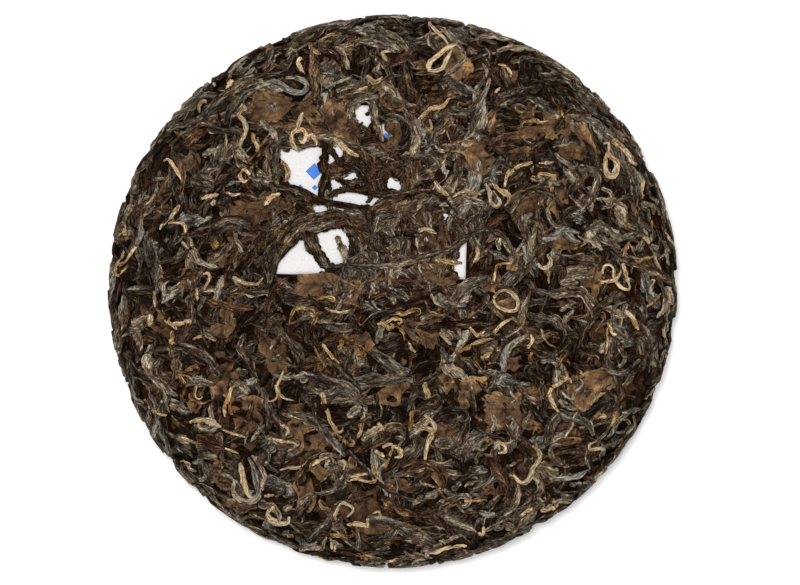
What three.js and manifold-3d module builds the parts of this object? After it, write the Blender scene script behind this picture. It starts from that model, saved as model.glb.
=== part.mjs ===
// A pressed cake of GABA black tea: a round, slightly domed slab of whole rolled leaves. A paper ticket is
// pressed in under the top leaves of its face and shows between them, and its back has the dimple that the
// knot of the pressing bag leaves. Millimetres, +Z up. The cake lies on its back, with the middle of its
// foot at the origin.
import * as THREE from "three";
import { mergeVertices } from "three/addons/utils/BufferGeometryUtils.js";
import Module from "manifold-3d";

const wasm = await Module();
wasm.setup();

// The cake, without the leaves that stand out of it
const WIDTH = 188.4; // across, left to right, at the girth
const DEPTH = 183; // across, front to back: hand pressing leaves it a little out of round
const OVAL_TURN = 0.28; // radians from the X axis to the widest way across
const LOPSIDED = 0.0045; // share by which its three low corners stand out
const LOPSIDED_TURN = 0.57;
const CORE_TOP = 23.6; // height of the middle of the face
const CORE_FOOT = 1.1; // height of the back, which the leaves there keep off the ground
const CROWN = 1.4; // how far the face falls from its middle to its shoulder
const SHOULDER_RADIUS = 79; // where the face turns over into the girth
const SHOULDER_REACH = 9; // how far the turn keeps near the height of the face
const SHOULDER_DROP = 0.6;
const GIRTH_HEIGHT = 11.5; // height of the widest ring
const GIRTH_REACH = 6; // how far above and below it the side keeps upright
const FOOT_RADIUS = 82; // where the back turns up into the girth
const DIMPLE_MOUTH = 29; // radius at the back
const DIMPLE_FLOOR = 13; // radius of the flat end
const DIMPLE_DEPTH = 9.5;
const CORE_SEGMENTS = 32; // round the cake
const CURVE_STEPS = 3; // along each curve of the section

// The ticket
const TICKET_WIDTH = 63;
const TICKET_HEIGHT = 56.5;
const TICKET_THICKNESS = 0.4;
const TICKET_MIDDLE = new THREE.Vector2(-6.3, 33);
const TICKET_TURN = THREE.MathUtils.degToRad(-1.7);
const TICKET_COVER = 1.35; // depth of its upper face below the face of the cake
const TICKET_CELLS = 6; // each way, so that the paper follows the cake
const GAP = 0.3; // kept all round the ticket

// Where the ticket shows between the leaves: the middle of each opening, and its half width and half height
const OPENINGS = [
  { at: [-30, 39.3], half: [5.8, 8] },
  { at: [-19.6, 45.5], half: [2.4, 3.4] },
  { at: [-17.5, 36.5], half: [3.8, 1.9] },
  { at: [-13.8, 30.5], half: [5.6, 2.1] },
  { at: [-19.5, 14.3], half: [4.6, 5.2] },
  { at: [-31, 10.2], half: [6.4, 4.6] },
  { at: [-9.3, 57.3], half: [2.8, 2] },
  { at: [22.8, 6.6], half: [2, 2.6] },
];
const OPENING_SIDES = 8;

// The leaves: a rolled one is a tube that tapers to both ends, and an open one a thin wavy blade. Sink is the
// height of its middle over the face, as a share of its thickness, and bend the most that its bow may have.
const ROLLED = { length: [19, 31], width: [4.4, 6.4], thickness: [2.4, 3], sink: 0.16, bend: 1.3 };
const OPEN = { length: [17, 27], width: [8.5, 13], thickness: [1.5, 2], sink: 0.1, bend: 0.5 };
const BACK_SINK = 0.35; // for both, on the back
const OPEN_SHARE = 0.3; // of the scattered leaves
const ROLLED_SIDES = 4;
const ROLLED_STEPS = 3;
const ROLLED_TIP = 0.3; // width of its ends, as a share
const OPEN_STEPS = 3;
const OPEN_TIP = 0.22;
const OPEN_WAVE = 0.25; // height of the wave along each edge

// Where they lie, as distances from the middle of the face or of the back, measured over the surface
const FACE_LEAVES = { count: 60, from: 0, to: 88 };
const RIM_LEAVES = { count: 27, from: 93, to: 107 };
const BACK_LEAVES = { count: 20, from: 38, to: 87 };
const DIMPLE_LEAVES = { count: 5, from: 16, to: 32 };
const RIM_STRAY = 0.9; // how far the leaves of the rim turn from its own way round
const ATTEMPTS = 6; // at placing a leaf clear of the openings
const SEED = 357;

// The long leaves that cross the ticket between its openings
const CROSSING_THICKNESS = 2.4;
const CROSSING = [
  { width: 3.2, through: [[-44, 35.5], [-35, 31], [-26, 29], [-16, 27.5], [-6, 27]] },
  { width: 2.8, through: [[-27, 32.5], [-16, 33.5], [-3, 33], [10, 31.7], [24, 27]] },
  { width: 2.8, through: [[-22, 58], [-23.4, 46], [-23.3, 36], [-27, 26]] },
  { width: 5.2, through: [[-43, 1], [-39, 13], [-31, 20.5], [-22, 23], [-10, 19]] },
  { width: 3.6, through: [[-27, 22], [-25, 12], [-22, 2]] },
  { width: 3, through: [[-30, 2], [-9.3, 6.5], [12, 10.5], [28, 19.5], [42, 13]] },
];

// One broad flat leaf of the back that the cake rests on
const FOOT_LEAF = { middle: [0, 58], length: 30, width: 12, thickness: 2 };

const FACE = 1;
const BACK = -1;
const GOLDEN_ANGLE = Math.PI * (3 - Math.sqrt(5));

// Section of the cake from the middle of its face to the middle of its back, as x = radius and y = height
const girthRadius = (WIDTH + DEPTH) / 4;
const dimpleTurn = (DIMPLE_MOUTH - DIMPLE_FLOOR) / 2;
const skin = new THREE.Path()
  .moveTo(0, CORE_TOP)
  .quadraticCurveTo(SHOULDER_RADIUS / 2, CORE_TOP, SHOULDER_RADIUS, CORE_TOP - CROWN)
  .bezierCurveTo(
    SHOULDER_RADIUS + SHOULDER_REACH, CORE_TOP - CROWN - SHOULDER_DROP,
    girthRadius, GIRTH_HEIGHT + GIRTH_REACH,
    girthRadius, GIRTH_HEIGHT,
  )
  .bezierCurveTo(
    girthRadius, GIRTH_HEIGHT - GIRTH_REACH,
    FOOT_RADIUS + GIRTH_REACH, CORE_FOOT,
    FOOT_RADIUS, CORE_FOOT,
  )
  .lineTo(DIMPLE_MOUTH, CORE_FOOT)
  .bezierCurveTo(
    DIMPLE_MOUTH - dimpleTurn, CORE_FOOT,
    DIMPLE_FLOOR + dimpleTurn, CORE_FOOT + DIMPLE_DEPTH,
    DIMPLE_FLOOR, CORE_FOOT + DIMPLE_DEPTH,
  )
  .lineTo(0, CORE_FOOT + DIMPLE_DEPTH);
skin.arcLengthDivisions = 400;
const skinLength = skin.getLength();

// How far the outline stands outside a circle at an angle, as a factor
function outline(angle) {
  const oval = (WIDTH - DEPTH) / (WIDTH + DEPTH);
  return 1 + oval * Math.cos(2 * angle - OVAL_TURN) + LOPSIDED * Math.cos(3 * (angle - LOPSIDED_TURN));
}

// The mulberry32 generator, so that every draw is the same each time
function makeRandom(seed) {
  let state = seed;
  return () => {
    state = (state + 0x6d2b79f5) | 0;
    let mixed = Math.imul(state ^ (state >>> 15), 1 | state);
    mixed = (mixed + Math.imul(mixed ^ (mixed >>> 7), 61 | mixed)) ^ mixed;
    return ((mixed ^ (mixed >>> 14)) >>> 0) / 2 ** 32;
  };
}
const random = makeRandom(SEED);
const between = ([low, high]) => low + (high - low) * random();

// The surface of the cake is unrolled from the middle of its face or of its back: a flat point keeps its
// angle, and its distance from that middle is measured over the surface. This gives the point at a height
// over the surface.
function onSkin(flat, height, side) {
  const share = Math.min(flat.length() / skinLength, 1);
  const along = side === FACE ? share : 1 - share;
  const angle = side * Math.atan2(flat.y, flat.x);
  const section = skin.getPointAt(along);
  const tangent = skin.getTangentAt(along);
  const radius = section.x * outline(angle) - tangent.y * height;
  return new THREE.Vector3(radius * Math.cos(angle), radius * Math.sin(angle), section.y + tangent.x * height);
}

// Bends a geometry that stands along +Y, with its upper side to +Z, along a route on the unrolled surface.
// taper(u) is its width at a share u of its length, and lift(u, across) the height of its middle.
function layLeaf(geometry, route, leaf, side, taper, lift) {
  const position = geometry.getAttribute("position");
  for (let i = 0; i < position.count; i++) {
    const across = position.getX(i);
    const u = THREE.MathUtils.clamp(position.getY(i) + 0.5, 0, 1);
    const heading = route.getTangentAt(u);
    const offset = (across * taper(u) * leaf.width) / 2;
    const flat = route.getPointAt(u).add(new THREE.Vector2(heading.y, -heading.x).multiplyScalar(offset));
    const height = position.getZ(i) * leaf.thickness + lift(u, across);
    position.setXYZ(i, ...onSkin(flat, height, side));
  }
  return solidOf(geometry);
}

// A closed three.js geometry as a solid
function solidOf(geometry) {
  geometry.deleteAttribute("normal");
  geometry.deleteAttribute("uv");
  const merged = mergeVertices(geometry, 1e-4);
  const mesh = new wasm.Mesh({
    numProp: 3,
    vertProperties: merged.getAttribute("position").array,
    triVerts: new Uint32Array(merged.index.array),
  });
  return new wasm.Manifold(mesh);
}

// A solid as a three.js geometry
function geometryOf(solid) {
  const mesh = solid.getMesh();
  const geometry = new THREE.BufferGeometry();
  geometry.setAttribute("position", new THREE.BufferAttribute(mesh.vertProperties, 3));
  geometry.setIndex(new THREE.BufferAttribute(mesh.triVerts, 1));
  return geometry;
}

function rolledLeaf(route, leaf, side) {
  const taper = (u) => ROLLED_TIP + (1 - ROLLED_TIP) * Math.sin(Math.PI * u) ** 0.6;
  const lift = () => leaf.sink * leaf.thickness;
  const tube = new THREE.CylinderGeometry(1, 1, 1, ROLLED_SIDES, ROLLED_STEPS).scale(1, 1, 0.5);
  return layLeaf(tube, route, leaf, side, taper, lift);
}

function openLeaf(route, leaf, side) {
  const phase = 2 * Math.PI * random();
  const taper = (u) => OPEN_TIP + (1 - OPEN_TIP) * Math.sin(Math.PI * u) ** 0.8;
  const lift = (u, across) =>
    leaf.sink * leaf.thickness + OPEN_WAVE * across * Math.sin(2 * Math.PI * u + phase);
  const blade = new THREE.BoxGeometry(2, 1, 1, 2, OPEN_STEPS, 1);
  return layLeaf(blade, route, leaf, side, taper, lift);
}

// A route of a length through a middle, bowed to one side
function bow(middle, heading, length, bend) {
  const half = new THREE.Vector2(length / 2, 0).rotateAround(new THREE.Vector2(), heading);
  const side = new THREE.Vector2(-half.y, half.x).multiplyScalar(bend);
  const [start, end] = [middle.clone().sub(half), middle.clone().add(half)];
  return new THREE.QuadraticBezierCurve(start, middle.clone().add(side), end);
}

function closesAnOpening(route, width) {
  return route.getPoints(8).some((flat) => OPENINGS.some(({ at, half }) => {
    const across = (flat.x - at[0]) / (half[0] + width / 2);
    const along = (flat.y - at[1]) / (half[1] + width / 2);
    return across ** 2 + along ** 2 < 1;
  }));
}

// One leaf of a random kind and size, or nothing where it would close an opening
function scatteredLeaf(middle, heading, side) {
  const isOpen = random() < OPEN_SHARE;
  const kind = isOpen ? OPEN : ROLLED;
  const [length, width, thickness] = [kind.length, kind.width, kind.thickness].map(between);
  const route = bow(middle, heading, length, kind.bend * (random() - 0.5));
  if (side === FACE && closesAnOpening(route, width)) return null;
  const leaf = { width, thickness, sink: side === FACE ? kind.sink : BACK_SINK };
  return isOpen ? openLeaf(route, leaf, side) : rolledLeaf(route, leaf, side);
}

// Leaves spread evenly over a ring, by the rule that sets the seeds of a sunflower
function scatter({ count, from, to }, side, headingAt) {
  const leaves = [];
  for (let i = 0; i < count; i++) {
    const distance = Math.sqrt(from ** 2 + ((i + 0.5) / count) * (to ** 2 - from ** 2));
    const angle = i * GOLDEN_ANGLE;
    const middle = new THREE.Vector2(distance, 0).rotateAround(new THREE.Vector2(), angle);
    for (let attempt = 0; attempt < ATTEMPTS; attempt++) {
      const leaf = scatteredLeaf(middle, headingAt(angle), side);
      if (!leaf) continue;
      leaves.push(leaf);
      break;
    }
  }
  return leaves;
}

const anyWay = () => random() * Math.PI;
const roundTheRim = (angle) => angle + Math.PI / 2 + (random() - 0.5) * RIM_STRAY;

function crossingLeaf({ width, through }) {
  const route = new THREE.SplineCurve(through.map(([x, y]) => new THREE.Vector2(x, y)));
  return rolledLeaf(route, { width, thickness: CROSSING_THICKNESS, sink: ROLLED.sink }, FACE);
}

function footLeaf() {
  const route = bow(new THREE.Vector2(...FOOT_LEAF.middle), 0, FOOT_LEAF.length, 0);
  return openLeaf(route, { ...FOOT_LEAF, sink: BACK_SINK }, BACK);
}

// The cake's own mass, turned from its section
function makeCore() {
  const profile = skin.getPoints(CURVE_STEPS).reverse();
  const lathe = new THREE.LatheGeometry(profile, CORE_SEGMENTS).rotateX(Math.PI / 2);
  const position = lathe.getAttribute("position");
  for (let i = 0; i < position.count; i++) {
    const [x, y] = [position.getX(i), position.getY(i)];
    const stretch = outline(Math.atan2(y, x));
    position.setXY(i, x * stretch, y * stretch);
  }
  return solidOf(lathe);
}

// The ticket follows the face of the cake, and with a spare all round it is the pocket that it lies in
function makeTicket(spare = 0) {
  const box = new THREE.BoxGeometry(1, 1, 1, TICKET_CELLS, TICKET_CELLS, 1);
  const position = box.getAttribute("position");
  for (let i = 0; i < position.count; i++) {
    const x = position.getX(i) * (TICKET_WIDTH + 2 * spare);
    const y = position.getY(i) * (TICKET_HEIGHT + 2 * spare);
    const flat = new THREE.Vector2(x, y).rotateAround(new THREE.Vector2(), TICKET_TURN).add(TICKET_MIDDLE);
    const height = position.getZ(i) * (TICKET_THICKNESS + 2 * spare) - TICKET_THICKNESS / 2 - TICKET_COVER;
    position.setXYZ(i, ...onSkin(flat, height, FACE));
  }
  return solidOf(box);
}

// From the middle of the pocket up through the face
function makeOpening({ at: [x, y], half: [across, along] }) {
  const shape = new THREE.Shape().absellipse(x, y, across, along, 0, 2 * Math.PI);
  const options = { depth: CORE_TOP, bevelEnabled: false, curveSegments: OPENING_SIDES / 2 };
  const ground = onSkin(new THREE.Vector2(x, y), -TICKET_COVER - TICKET_THICKNESS / 2, FACE).z;
  return solidOf(new THREE.ExtrudeGeometry(shape, options).translate(0, 0, ground));
}

// The largest body of a solid, without loose scraps and sealed hollows
function largestBody(solid) {
  return solid.decompose().reduce((best, body) => (body.volume() > best.volume() ? body : best));
}

function makeCake() {
  const openings = OPENINGS.map(makeOpening);
  const hollowed = makeCore().subtract(wasm.Manifold.union([makeTicket(GAP), ...openings]));
  const leaves = [
    ...scatter(FACE_LEAVES, FACE, anyWay),
    ...scatter(RIM_LEAVES, FACE, roundTheRim),
    ...scatter(BACK_LEAVES, BACK, anyWay),
    ...scatter(DIMPLE_LEAVES, BACK, roundTheRim),
    ...CROSSING.map(crossingLeaf),
    footLeaf(),
  ];
  const pressed = wasm.Manifold.union([hollowed, ...leaves]);
  const ground = new THREE.BoxGeometry(2 * WIDTH, 2 * WIDTH, CORE_TOP).translate(0, 0, -CORE_TOP / 2);
  return largestBody(pressed.subtract(solidOf(ground)));
}

function makeMesh(name, solid, color, roughness) {
  const material = new THREE.MeshStandardMaterial({ color, roughness, metalness: 0 });
  const mesh = new THREE.Mesh(geometryOf(solid), material);
  mesh.name = name;
  return mesh;
}

const teaCake = new THREE.Group();
teaCake.add(makeMesh("cake", makeCake(), 0x4a3d31, 0.75));
teaCake.add(makeMesh("ticket", makeTicket(), 0xe6e5e8, 0.9));

// The origin is set in the middle of the foot of the whole
const middle = new THREE.Box3().setFromObject(teaCake).getCenter(new THREE.Vector3());
teaCake.position.set(-middle.x, -middle.y, 0);

export default teaCake;
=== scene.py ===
# A pressed cake of GABA black tea with a paper ticket in its face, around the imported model.
# Lengths are in millimetres up to the point where a mesh is made, and in metres from there on.
import math

import bpy
import numpy as np
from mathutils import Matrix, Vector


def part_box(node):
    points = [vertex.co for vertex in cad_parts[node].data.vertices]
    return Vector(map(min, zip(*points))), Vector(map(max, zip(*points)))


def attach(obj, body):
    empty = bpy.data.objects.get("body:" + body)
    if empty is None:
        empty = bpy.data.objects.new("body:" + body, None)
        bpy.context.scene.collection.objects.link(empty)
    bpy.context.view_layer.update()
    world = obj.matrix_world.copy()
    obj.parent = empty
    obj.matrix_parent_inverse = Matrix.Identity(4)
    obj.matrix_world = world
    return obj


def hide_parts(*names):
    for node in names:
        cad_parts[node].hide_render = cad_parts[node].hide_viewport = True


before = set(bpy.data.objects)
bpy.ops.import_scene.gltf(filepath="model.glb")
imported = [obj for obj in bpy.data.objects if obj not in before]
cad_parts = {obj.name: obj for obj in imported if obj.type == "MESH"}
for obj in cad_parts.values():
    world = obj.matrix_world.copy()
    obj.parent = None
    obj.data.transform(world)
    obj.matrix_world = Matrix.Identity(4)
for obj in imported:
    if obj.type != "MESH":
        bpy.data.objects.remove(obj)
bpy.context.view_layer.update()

# The pressed body
# A cake of this tea is whole leaf, steamed soft in a cloth bag and pressed under a stone. Its body is a
# matted mass of broken leaf, and little of it shows but the dark at the bottom of the gaps between leaves.
MM = 0.001
rng = np.random.default_rng(357)

cake_low, cake_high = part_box("cake")
cake_width, cake_depth, cake_height = (np.array(cake_high) - np.array(cake_low)) / MM
LEAF_STAND = 1.3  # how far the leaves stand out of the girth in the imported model
GIRTH_RADIUS = (cake_width + cake_depth) / 4 - LEAF_STAND
OVAL = (cake_width - cake_depth) / (cake_width + cake_depth)
OVAL_TURN = 0.28  # radians from the X axis to the widest way across
FACE_MIDDLE = np.array([0.38, 0.68])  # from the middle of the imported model's box
LOPSIDED = 0.0045  # share by which three low corners stand out of the oval
LOPSIDED_TURN = 0.57
FACE_TOP = cake_height - 1.75  # the middle of the face, without the leaves that stand out of it
CROWN = 1.4  # how far the face falls from its middle to its shoulder
SHOULDER_RADIUS = 79  # where the face turns over into the girth
SHOULDER_REACH = 9  # how far the turn keeps near the height of the face
SHOULDER_DROP = 0.6
GIRTH_HEIGHT = 11.5  # of the widest ring
GIRTH_REACH = 6  # how far above and below it the side keeps upright
FOOT_RADIUS = 82  # where the back turns up into the girth
BACK_HEIGHT = 1.1
DIMPLE_MOUTH = 29
DIMPLE_FLOOR = 13
DIMPLE_DEPTH = 9.5


def bezier(start, first, second, end, steps=40):
    """Points of a cubic curve."""
    t = np.linspace(0, 1, steps)[:, None]
    weights = ((1 - t) ** 3, 3 * t * (1 - t) ** 2, 3 * t ** 2 * (1 - t), t ** 3)
    return sum(w * np.array(p) for w, p in zip(weights, (start, first, second, end)))


def cake_section():
    """The cake's section from the middle of its face to the middle of its back, as radius and height."""
    t = np.linspace(0, 1, 60)
    face = np.stack([SHOULDER_RADIUS * t, FACE_TOP - CROWN * t ** 2], 1)
    shoulder = bezier(face[-1], (SHOULDER_RADIUS + SHOULDER_REACH, FACE_TOP - CROWN - SHOULDER_DROP),
                      (GIRTH_RADIUS, GIRTH_HEIGHT + GIRTH_REACH), (GIRTH_RADIUS, GIRTH_HEIGHT))
    turn = bezier((GIRTH_RADIUS, GIRTH_HEIGHT), (GIRTH_RADIUS, GIRTH_HEIGHT - GIRTH_REACH),
                  (FOOT_RADIUS + GIRTH_REACH, BACK_HEIGHT), (FOOT_RADIUS, BACK_HEIGHT))
    middle = (DIMPLE_MOUTH + DIMPLE_FLOOR) / 2
    roof = BACK_HEIGHT + DIMPLE_DEPTH
    dimple = bezier((DIMPLE_MOUTH, BACK_HEIGHT), (middle, BACK_HEIGHT),
                    (middle, roof), (DIMPLE_FLOOR, roof))
    return np.concatenate([face, shoulder[1:], turn[1:], dimple, [(0, roof)]])


section = cake_section()
section_steps = np.hypot(*np.diff(section, axis=0).T)
section_along = np.concatenate([[0], np.cumsum(section_steps)])
section_length = section_along[-1]
girth_step = int(section[:, 0].argmax())
section_way = np.gradient(section, section_along, axis=0)
section_way /= np.hypot(*section_way.T)[:, None]


def outline(angle):
    """How far the outline stands outside a circle at an angle, as a factor."""
    return 1 + OVAL * np.cos(2 * angle - OVAL_TURN) + LOPSIDED * np.cos(3 * (angle - LOPSIDED_TURN))


def over_skin(flat, height, side):
    """Points in metres at heights over the skin. side is 1 from the face's middle, -1 from the back's."""
    distance = np.hypot(flat[..., 0], flat[..., 1])
    along = distance if side > 0 else section_length - distance
    angle = side * np.arctan2(flat[..., 1], flat[..., 0])
    radius, level, way_out, way_up = (
        np.interp(along, section_along, column) for column in (*section.T, *section_way.T))
    radius = radius * outline(angle) - way_up * height
    level = level + way_out * height
    x = FACE_MIDDLE[0] + radius * np.cos(angle)
    y = FACE_MIDDLE[1] + radius * np.sin(angle)
    return MM * np.stack([x, y, level], -1)


SQUEEZE = 0.25  # the most that a leaf still stands over what the press allows


class Side:
    """The face or the back, unrolled from its middle, with the height of what lies there so far."""

    CELL = 0.5

    def __init__(self, sign, reach, floor, limit):
        self.sign = sign
        self.reach = reach
        self.limit = limit  # the height that the press allows, by the distance from the middle
        self.spare = 0.0  # how far below that the present layer stays
        self.cells = int(2 * reach / self.CELL) + 1
        self.height = np.full((self.cells, self.cells), float(floor))
        self.closed = np.zeros((self.cells, self.cells), bool)

    def cell(self, flat):
        places = ((flat + self.reach) / self.CELL).astype(int)
        return tuple(np.moveaxis(np.clip(places, 0, self.cells - 1), -1, 0))

    def middles(self):
        axis = (np.arange(self.cells) + 0.5) * self.CELL - self.reach
        return np.stack(np.meshgrid(axis, axis, indexing="ij"), -1)

    def read(self, flat):
        return self.height[self.cell(flat)]

    def raise_to(self, flat, height):
        np.maximum.at(self.height, self.cell(flat), height)

    def depth(self, flat, height):
        """How far below what the press allows something lies."""
        return self.limit(np.hypot(flat[..., 0], flat[..., 1])) - height

    def press(self, flat, height):
        """Sinks a leaf to what the press allows, row by row, and squeezes what still stands over."""
        limit = self.limit(np.hypot(flat[..., 0], flat[..., 1])) - self.spare
        sunk = np.maximum((height - limit).max(1), 0)
        height = height - (sunk - SQUEEZE * (1 - np.exp(-sunk / SQUEEZE)))[:, None]
        over = np.maximum(height - limit, 0)
        return height - over + SQUEEZE * (1 - np.exp(-over / SQUEEZE))


BED_DEPTH = 2.3  # of the body under the skin that the leaves build up to
FACE_REACH = 122  # over the skin from the middle of the face, round the rim and past the girth
BACK_REACH = 96
# Distances from the middle, and how far the leaves stand out there
FACE_STAND = ((0, 80, 95, FACE_REACH), (1.45, 1.4, 0.85, 0.85))
BACK_STAND = ((0, 20, 28, BACK_REACH), (1.2, 1.2, 0.8, 0.8))
face = Side(1, FACE_REACH, -BED_DEPTH, lambda distance: np.interp(distance, *FACE_STAND))
back = Side(-1, BACK_REACH, -BED_DEPTH, lambda distance: np.interp(distance, *BACK_STAND))


def linear(hex_colour):
    """A colour given as sRGB hex, as the linear colour that nodes take."""
    parts = [int(hex_colour[i:i + 2], 16) / 255 for i in (1, 3, 5)]
    return [c / 12.92 if c <= 0.04045 else ((c + 0.055) / 1.055) ** 2.4 for c in parts] + [1]


def add(tree, kind, inputs=None, stops=None, **settings):
    """Adds a node. Its inputs are values or other nodes' outputs, and stops are those of a colour ramp."""
    node = tree.nodes.new(kind)
    for name, value in settings.items():
        setattr(node, name, value)
    for name, value in (inputs or {}).items():
        if isinstance(value, bpy.types.NodeSocket):
            tree.links.new(value, node.inputs[name])
        else:
            node.inputs[name].default_value = value
    for i, (place, colour) in enumerate(stops or ()):
        stop = node.color_ramp.elements[i] if i < 2 else node.color_ramp.elements.new(place)
        stop.position = place
        stop.color = linear(colour)
    return node


def new_material(name):
    """A material whose tree is still empty."""
    material = bpy.data.materials.new(name)
    material.use_nodes = True
    material.node_tree.nodes.clear()
    return material, material.node_tree


def add_piece(name, mesh, material):
    """Puts a mesh in the scene as a piece of the cake."""
    mesh.materials.append(material)
    piece = bpy.data.objects.new(name, mesh)
    bpy.context.scene.collection.objects.link(piece)
    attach(piece, "root")
    return piece


def mesh_from(name, points, quads, corners_uv, tips=None, tips_uv=None):
    """A smooth mesh of quads, with triangles at the tips, and its map for baking."""
    mesh = bpy.data.meshes.new(name)
    tips = np.zeros((0, 3), int) if tips is None else tips
    corners = np.concatenate([quads.ravel(), tips.ravel()])
    sizes = np.concatenate([np.full(len(quads), 4), np.full(len(tips), 3)])
    mesh.vertices.add(len(points))
    mesh.vertices.foreach_set("co", points.astype(np.float32).ravel())
    mesh.loops.add(len(corners))
    mesh.loops.foreach_set("vertex_index", corners.astype(np.int32))
    mesh.polygons.add(len(sizes))
    mesh.polygons.foreach_set("loop_start", (np.cumsum(sizes) - sizes).astype(np.int32))
    mesh.polygons.foreach_set("use_smooth", np.ones(len(sizes), bool))
    uv = mesh.uv_layers.new(name="OFBake")
    both = corners_uv.reshape(-1, 2)
    if tips_uv is not None:
        both = np.concatenate([both, tips_uv.reshape(-1, 2)])
    uv.data.foreach_set("uv", both.astype(np.float32).ravel())
    mesh.update(calc_edges=True)
    return mesh


BODY_RINGS = 84
BODY_SEGMENTS = 280
BODY_SINK = 0.6  # how far the body lies under the bed of the leaves
CHIPS = 9000  # of broken leaf in the surface of the body
CHIP_LENGTH = (2, 7)
CHIP_WIDTH = (0.8, 2.2)
CHIP_LEVEL = (0, 0.7)
CHIP_ARCH = 0.35
CHIP_SINK = 0.5


def strew_chips(side, count):
    """Raises the surface of the body by broken bits of leaf that lie every way."""
    reach = side.reach
    angle = rng.uniform(0, 2 * np.pi, count)
    radius = reach * np.sqrt(rng.uniform(0, 1, count))
    middle = np.stack([radius * np.cos(angle), radius * np.sin(angle)], 1)
    heading = rng.uniform(0, np.pi, count)
    length = rng.uniform(*CHIP_LENGTH, count)
    width = rng.uniform(*CHIP_WIDTH, count)
    level = rng.uniform(*CHIP_LEVEL, count)
    along, across = np.meshgrid(np.linspace(-0.5, 0.5, 13), np.linspace(-0.5, 0.5, 5), indexing="ij")
    for i in range(count):
        way = np.array([np.cos(heading[i]), np.sin(heading[i])])
        aside = way[::-1] * (1, -1)
        flat = middle[i] + (along * length[i])[..., None] * way + (across * width[i])[..., None] * aside
        arch = CHIP_ARCH * np.sqrt(1 - (2 * along) ** 2 * 0.9) * np.sqrt(1 - (2 * across) ** 2 * 0.9)
        side.raise_to(flat, arch + level[i] - BED_DEPTH - CHIP_SINK)


for side in (face, back):
    side.height -= BODY_SINK
    strew_chips(side, CHIPS)

POLE_GAP = 0.8  # from the first and last ring to the middle of the face and of the back
FACE_SHARE = 110  # how far over the skin the body takes its height from the face's side
POLE_MAP = 0.02  # height that the poles' triangles take in the map
body_angle = np.linspace(0, 2 * np.pi, BODY_SEGMENTS, endpoint=False)
body_along = np.linspace(POLE_GAP, section_length - POLE_GAP, BODY_RINGS)
on_face = body_along < FACE_SHARE
body_flat = np.stack([
    body_along[:, None] * np.cos(body_angle),
    body_along[:, None] * np.sin(body_angle)], -1)
back_along = section_length - body_along
back_flat = np.stack([
    back_along[:, None] * np.cos(-body_angle),
    back_along[:, None] * np.sin(-body_angle)], -1)
body_height = np.where(on_face[:, None], face.read(body_flat), back.read(back_flat))
body_points = over_skin(body_flat, body_height, 1).reshape(-1, 3)
poles = over_skin(np.array([[0.01, 0.0], [section_length - 0.01, 0.0]]), np.full(2, -BED_DEPTH), 1)
poles[:, :2] = FACE_MIDDLE * MM
ring_index = np.arange(BODY_SEGMENTS)
following = (ring_index + 1) % BODY_SEGMENTS
starts = (np.arange(BODY_RINGS - 1) * BODY_SEGMENTS)[:, None]
body_quads = np.stack([
    starts + ring_index, starts + BODY_SEGMENTS + ring_index,
    starts + BODY_SEGMENTS + following, starts + following], -1).reshape(-1, 4)
map_u = np.stack([ring_index, ring_index, ring_index + 1, ring_index + 1], -1) / BODY_SEGMENTS
ring_corners = np.stack([np.arange(BODY_RINGS - 1) + k for k in (0, 1, 1, 0)], -1)
map_v = POLE_MAP + (1 - 2 * POLE_MAP) * ring_corners / (BODY_RINGS - 1)
body_uv = np.stack(np.broadcast_arrays(map_u[None], map_v[:, None]), -1)
last = (BODY_RINGS - 1) * BODY_SEGMENTS
north, south = len(body_points), len(body_points) + 1
pole_tips = np.concatenate([
    np.stack([np.full(BODY_SEGMENTS, north), ring_index, following], -1),
    np.stack([np.full(BODY_SEGMENTS, south), last + following, last + ring_index], -1)])
north_u = np.stack([ring_index + 0.5, ring_index, ring_index + 1], -1) / BODY_SEGMENTS
south_u = np.stack([ring_index + 0.5, ring_index + 1, ring_index], -1) / BODY_SEGMENTS
north_v = np.broadcast_to([0, POLE_MAP, POLE_MAP], north_u.shape)
pole_uv = np.concatenate([np.stack([north_u, north_v], -1), np.stack([south_u, 1 - north_v], -1)])

# Dry broken leaf, dull, with chips about 2.4 mm apart and a grain of 0.6 mm. Its near-black colour is
# partly the leaf's own and partly painted shade for the bottom of the gaps between leaves
body_material, tree = new_material("broken_leaf")
place = add(tree, "ShaderNodeTexCoord").outputs["Object"]
chips = add(tree, "ShaderNodeTexVoronoi", {"Vector": place, "Scale": 420.0, "Randomness": 1.0})
grain = add(tree, "ShaderNodeTexNoise", {"Vector": place, "Scale": 1600.0, "Detail": 3.0})
chip_tone = add(tree, "ShaderNodeSeparateColor", {"Color": chips.outputs["Color"]})
shade = add(tree, "ShaderNodeMath", {0: chip_tone.outputs[0], 1: grain.outputs[0]}, operation="MULTIPLY")
tint = add(tree, "ShaderNodeValToRGB", {"Fac": shade.outputs[0]}, stops=[
    (0.0, "#110600"), (0.35, "#241405"), (0.6, "#3f2c1a"), (0.9, "#665036")])
bump = add(tree, "ShaderNodeBump", {"Height": grain.outputs[0], "Strength": 0.8, "Distance": 0.0003})
shader = add(tree, "ShaderNodeBsdfPrincipled", {
    "Base Color": tint.outputs[0], "Roughness": 0.85, "IOR": 1.45, "Specular IOR Level": 0.05,
    "Normal": bump.outputs[0]})
add(tree, "ShaderNodeOutputMaterial", {"Surface": shader.outputs[0]})

body_mesh = mesh_from(
    "pressed_body", np.concatenate([body_points, poles]), body_quads, body_uv, pole_tips, pole_uv)
body = add_piece("pressed_body", body_mesh, body_material)
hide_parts("cake")

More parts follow.
